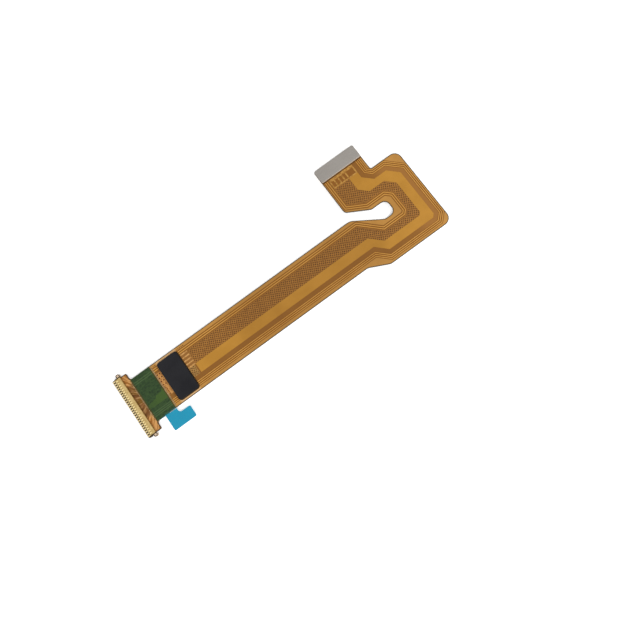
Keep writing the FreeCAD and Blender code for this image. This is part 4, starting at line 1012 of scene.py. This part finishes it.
def buildVias():
    # filled holes: a disc on each opening of the via pads, and a row on the margin on both sides of the pad
    finish = grainyFinish("viaFill", "via", "viaDark", 0.1, 0.003, Roughness=0.5, SpecularIORLevel=0.15)
    low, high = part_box("via_pads")
    source = topSheet("via_pads")
    work = bmesh.new()
    for loop in edgeLoops([e for e in source.edges if e.is_boundary]):
        spots = [v.co for e in loop for v in e.verts]
        spanX = max(spot.x for spot in spots) - min(spot.x for spot in spots)
        if spanX < edgeSizes["viaLoop"] * mm:
            middle = sum(spots, Vector()) / len(spots)
            addDisc(work, middle.x, middle.y, spanX / 2 * edgeSizes["viaSpread"])
    source.free()
    raiseSheet(work, high.z, high.z + edgeSizes["etchThick"] * mm)
    holes = meshObject("viaFills", work)
    bottom = acrossAt("slot_margin", -1)[0] * mm
    work = bmesh.new()
    for first, last in ((low.x, high.x), (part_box("foam_pad")[1].x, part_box("entry_lines")[1].x)):
        x = first + edgeSizes["stitchPitch"] * mm / 2
        while x < last:
            addDisc(work, x, bottom + edgeSizes["stitchInset"] * mm, edgeSizes["stitchRadius"] * mm)
            x += edgeSizes["stitchPitch"] * mm
    raiseSheet(work, high.z, high.z + edgeSizes["etchThick"] * mm)
    stitches = meshObject("stitchVias", work)
    for piece in (holes, stitches):
        dress(piece, finish)
        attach(piece, "root")


buildRim()
buildBevelled("foam_pad", "softPad", edgeSizes["foamBevel"])
buildBevelled("plug_stiffener", "steelPlate", edgeSizes["steelBevel"])
buildMaskHighlight()
buildTraceShade()
buildPadShadow()
buildVias()
print("edges done")


# floor, light and camera

stageSizes = {
    "floor": 1200, "sink": 0.01, "tone": 0.9, "warmth": 0.99, "grain": 20.0, "grainShare": 0.2,
    "world": 0.34, "seen": 1.0, "lift": 0.4,
}


def shownRays(tree):
    # 1 for the rays that show the background: seen straight, mirrored, or through something clear
    path = tree.nodes.new("ShaderNodeLightPath")
    shown = path.outputs["Is Camera Ray"]
    for label in ("Is Glossy Ray", "Is Transmission Ray"):
        most = tree.nodes.new("ShaderNodeMath")
        most.operation = "MAXIMUM"
        tree.links.new(shown, most.inputs[0])
        tree.links.new(path.outputs[label], most.inputs[1])
        shown = most.outputs[0]
    return shown


def buildStage():
    bpy.ops.mesh.primitive_plane_add(size=stageSizes["floor"] * mm)
    floor = bpy.context.object
    floor.name = "floor"
    floor.location.z = -stageSizes["sink"] * mm
    look = Look("paleFloor", Roughness=0.9, SpecularIORLevel=0.1)
    grain = look.noise(stageSizes["grain"], 2.0)
    pale, dim = stageSizes["tone"], stageSizes["tone"] * stageSizes["warmth"]
    look.feed(BaseColor=look.mix(grain * stageSizes["grainShare"],
                                 (pale, pale, pale, 1), (dim, dim, pale, 1)))
    shown = Wire(look, shownRays(look.tree))
    glow = look.node("ShaderNodeEmission", None, {"Color": (1, 1, 1, 1), "Strength": stageSizes["lift"]})
    plain = Wire(look, look.shader.outputs[0])
    lifted = look.node("ShaderNodeAddShader", None, {0: plain, 1: glow})
    chosen = look.node("ShaderNodeMixShader", None, {0: shown, 1: plain, 2: lifted})
    surface = next(n for n in look.tree.nodes if n.type == "OUTPUT_MATERIAL")
    look.join(surface.inputs["Surface"], chosen)
    dress(floor, look.material)


def buildWorld():
    world = bpy.data.worlds.new("studio")
    world.use_nodes = True
    bpy.context.scene.world = world
    tree = world.node_tree
    tree.nodes.clear()
    light = tree.nodes.new("ShaderNodeBackground")
    seen = tree.nodes.new("ShaderNodeBackground")
    for background, strength in ((light, stageSizes["world"]), (seen, stageSizes["seen"])):
        background.inputs["Color"].default_value = (1, 1, 1, 1)
        background.inputs["Strength"].default_value = strength
    pick = tree.nodes.new("ShaderNodeMixShader")
    out = tree.nodes.new("ShaderNodeOutputWorld")
    tree.links.new(shownRays(tree), pick.inputs[0])
    tree.links.new(light.outputs[0], pick.inputs[1])
    tree.links.new(seen.outputs[0], pick.inputs[2])
    tree.links.new(pick.outputs[0], out.inputs["Surface"])


lamps = {
    "soft": {"place": (-180, -260, 380), "size": 240, "watts": 1.5},
    "fill": {"place": (260, -120, 320), "size": 220, "watts": 1.1},
}


def buildLamps():
    for name, lamp in lamps.items():
        data = bpy.data.lights.new(name, "AREA")
        data.energy = lamp["watts"]
        data.size = lamp["size"] * mm
        item = bpy.data.objects.new(name, data)
        item.location = Vector(lamp["place"]) * mm
        item.rotation_euler = (-item.location).to_track_quat("-Z", "Y").to_euler()
        bpy.context.scene.collection.objects.link(item)


cameraSizes = {
    "place": (-0.159, -31.641, 118.39), "aim": (3.647, -11.979, 0.923), "turn": -25.28, "lens": 35, "clip": 1,
}


def buildCamera():
    data = bpy.data.cameras.new("camera")
    data.lens = cameraSizes["lens"]
    data.clip_start = cameraSizes["clip"] * mm
    item = bpy.data.objects.new("camera", data)
    place, aim = Vector(cameraSizes["place"]), Vector(cameraSizes["aim"])
    facing = (aim - place).to_track_quat("-Z", "Y").to_matrix().to_4x4()
    item.matrix_world = (Matrix.Translation(place * mm) @ facing
                         @ Matrix.Rotation(math.radians(cameraSizes["turn"]), 4, "Z"))
    bpy.context.scene.collection.objects.link(item)
    bpy.context.scene.camera = item


buildStage()
buildWorld()
buildLamps()
buildCamera()
bpy.context.scene.view_settings.view_transform = "Standard"
print("stage, lamps and camera")
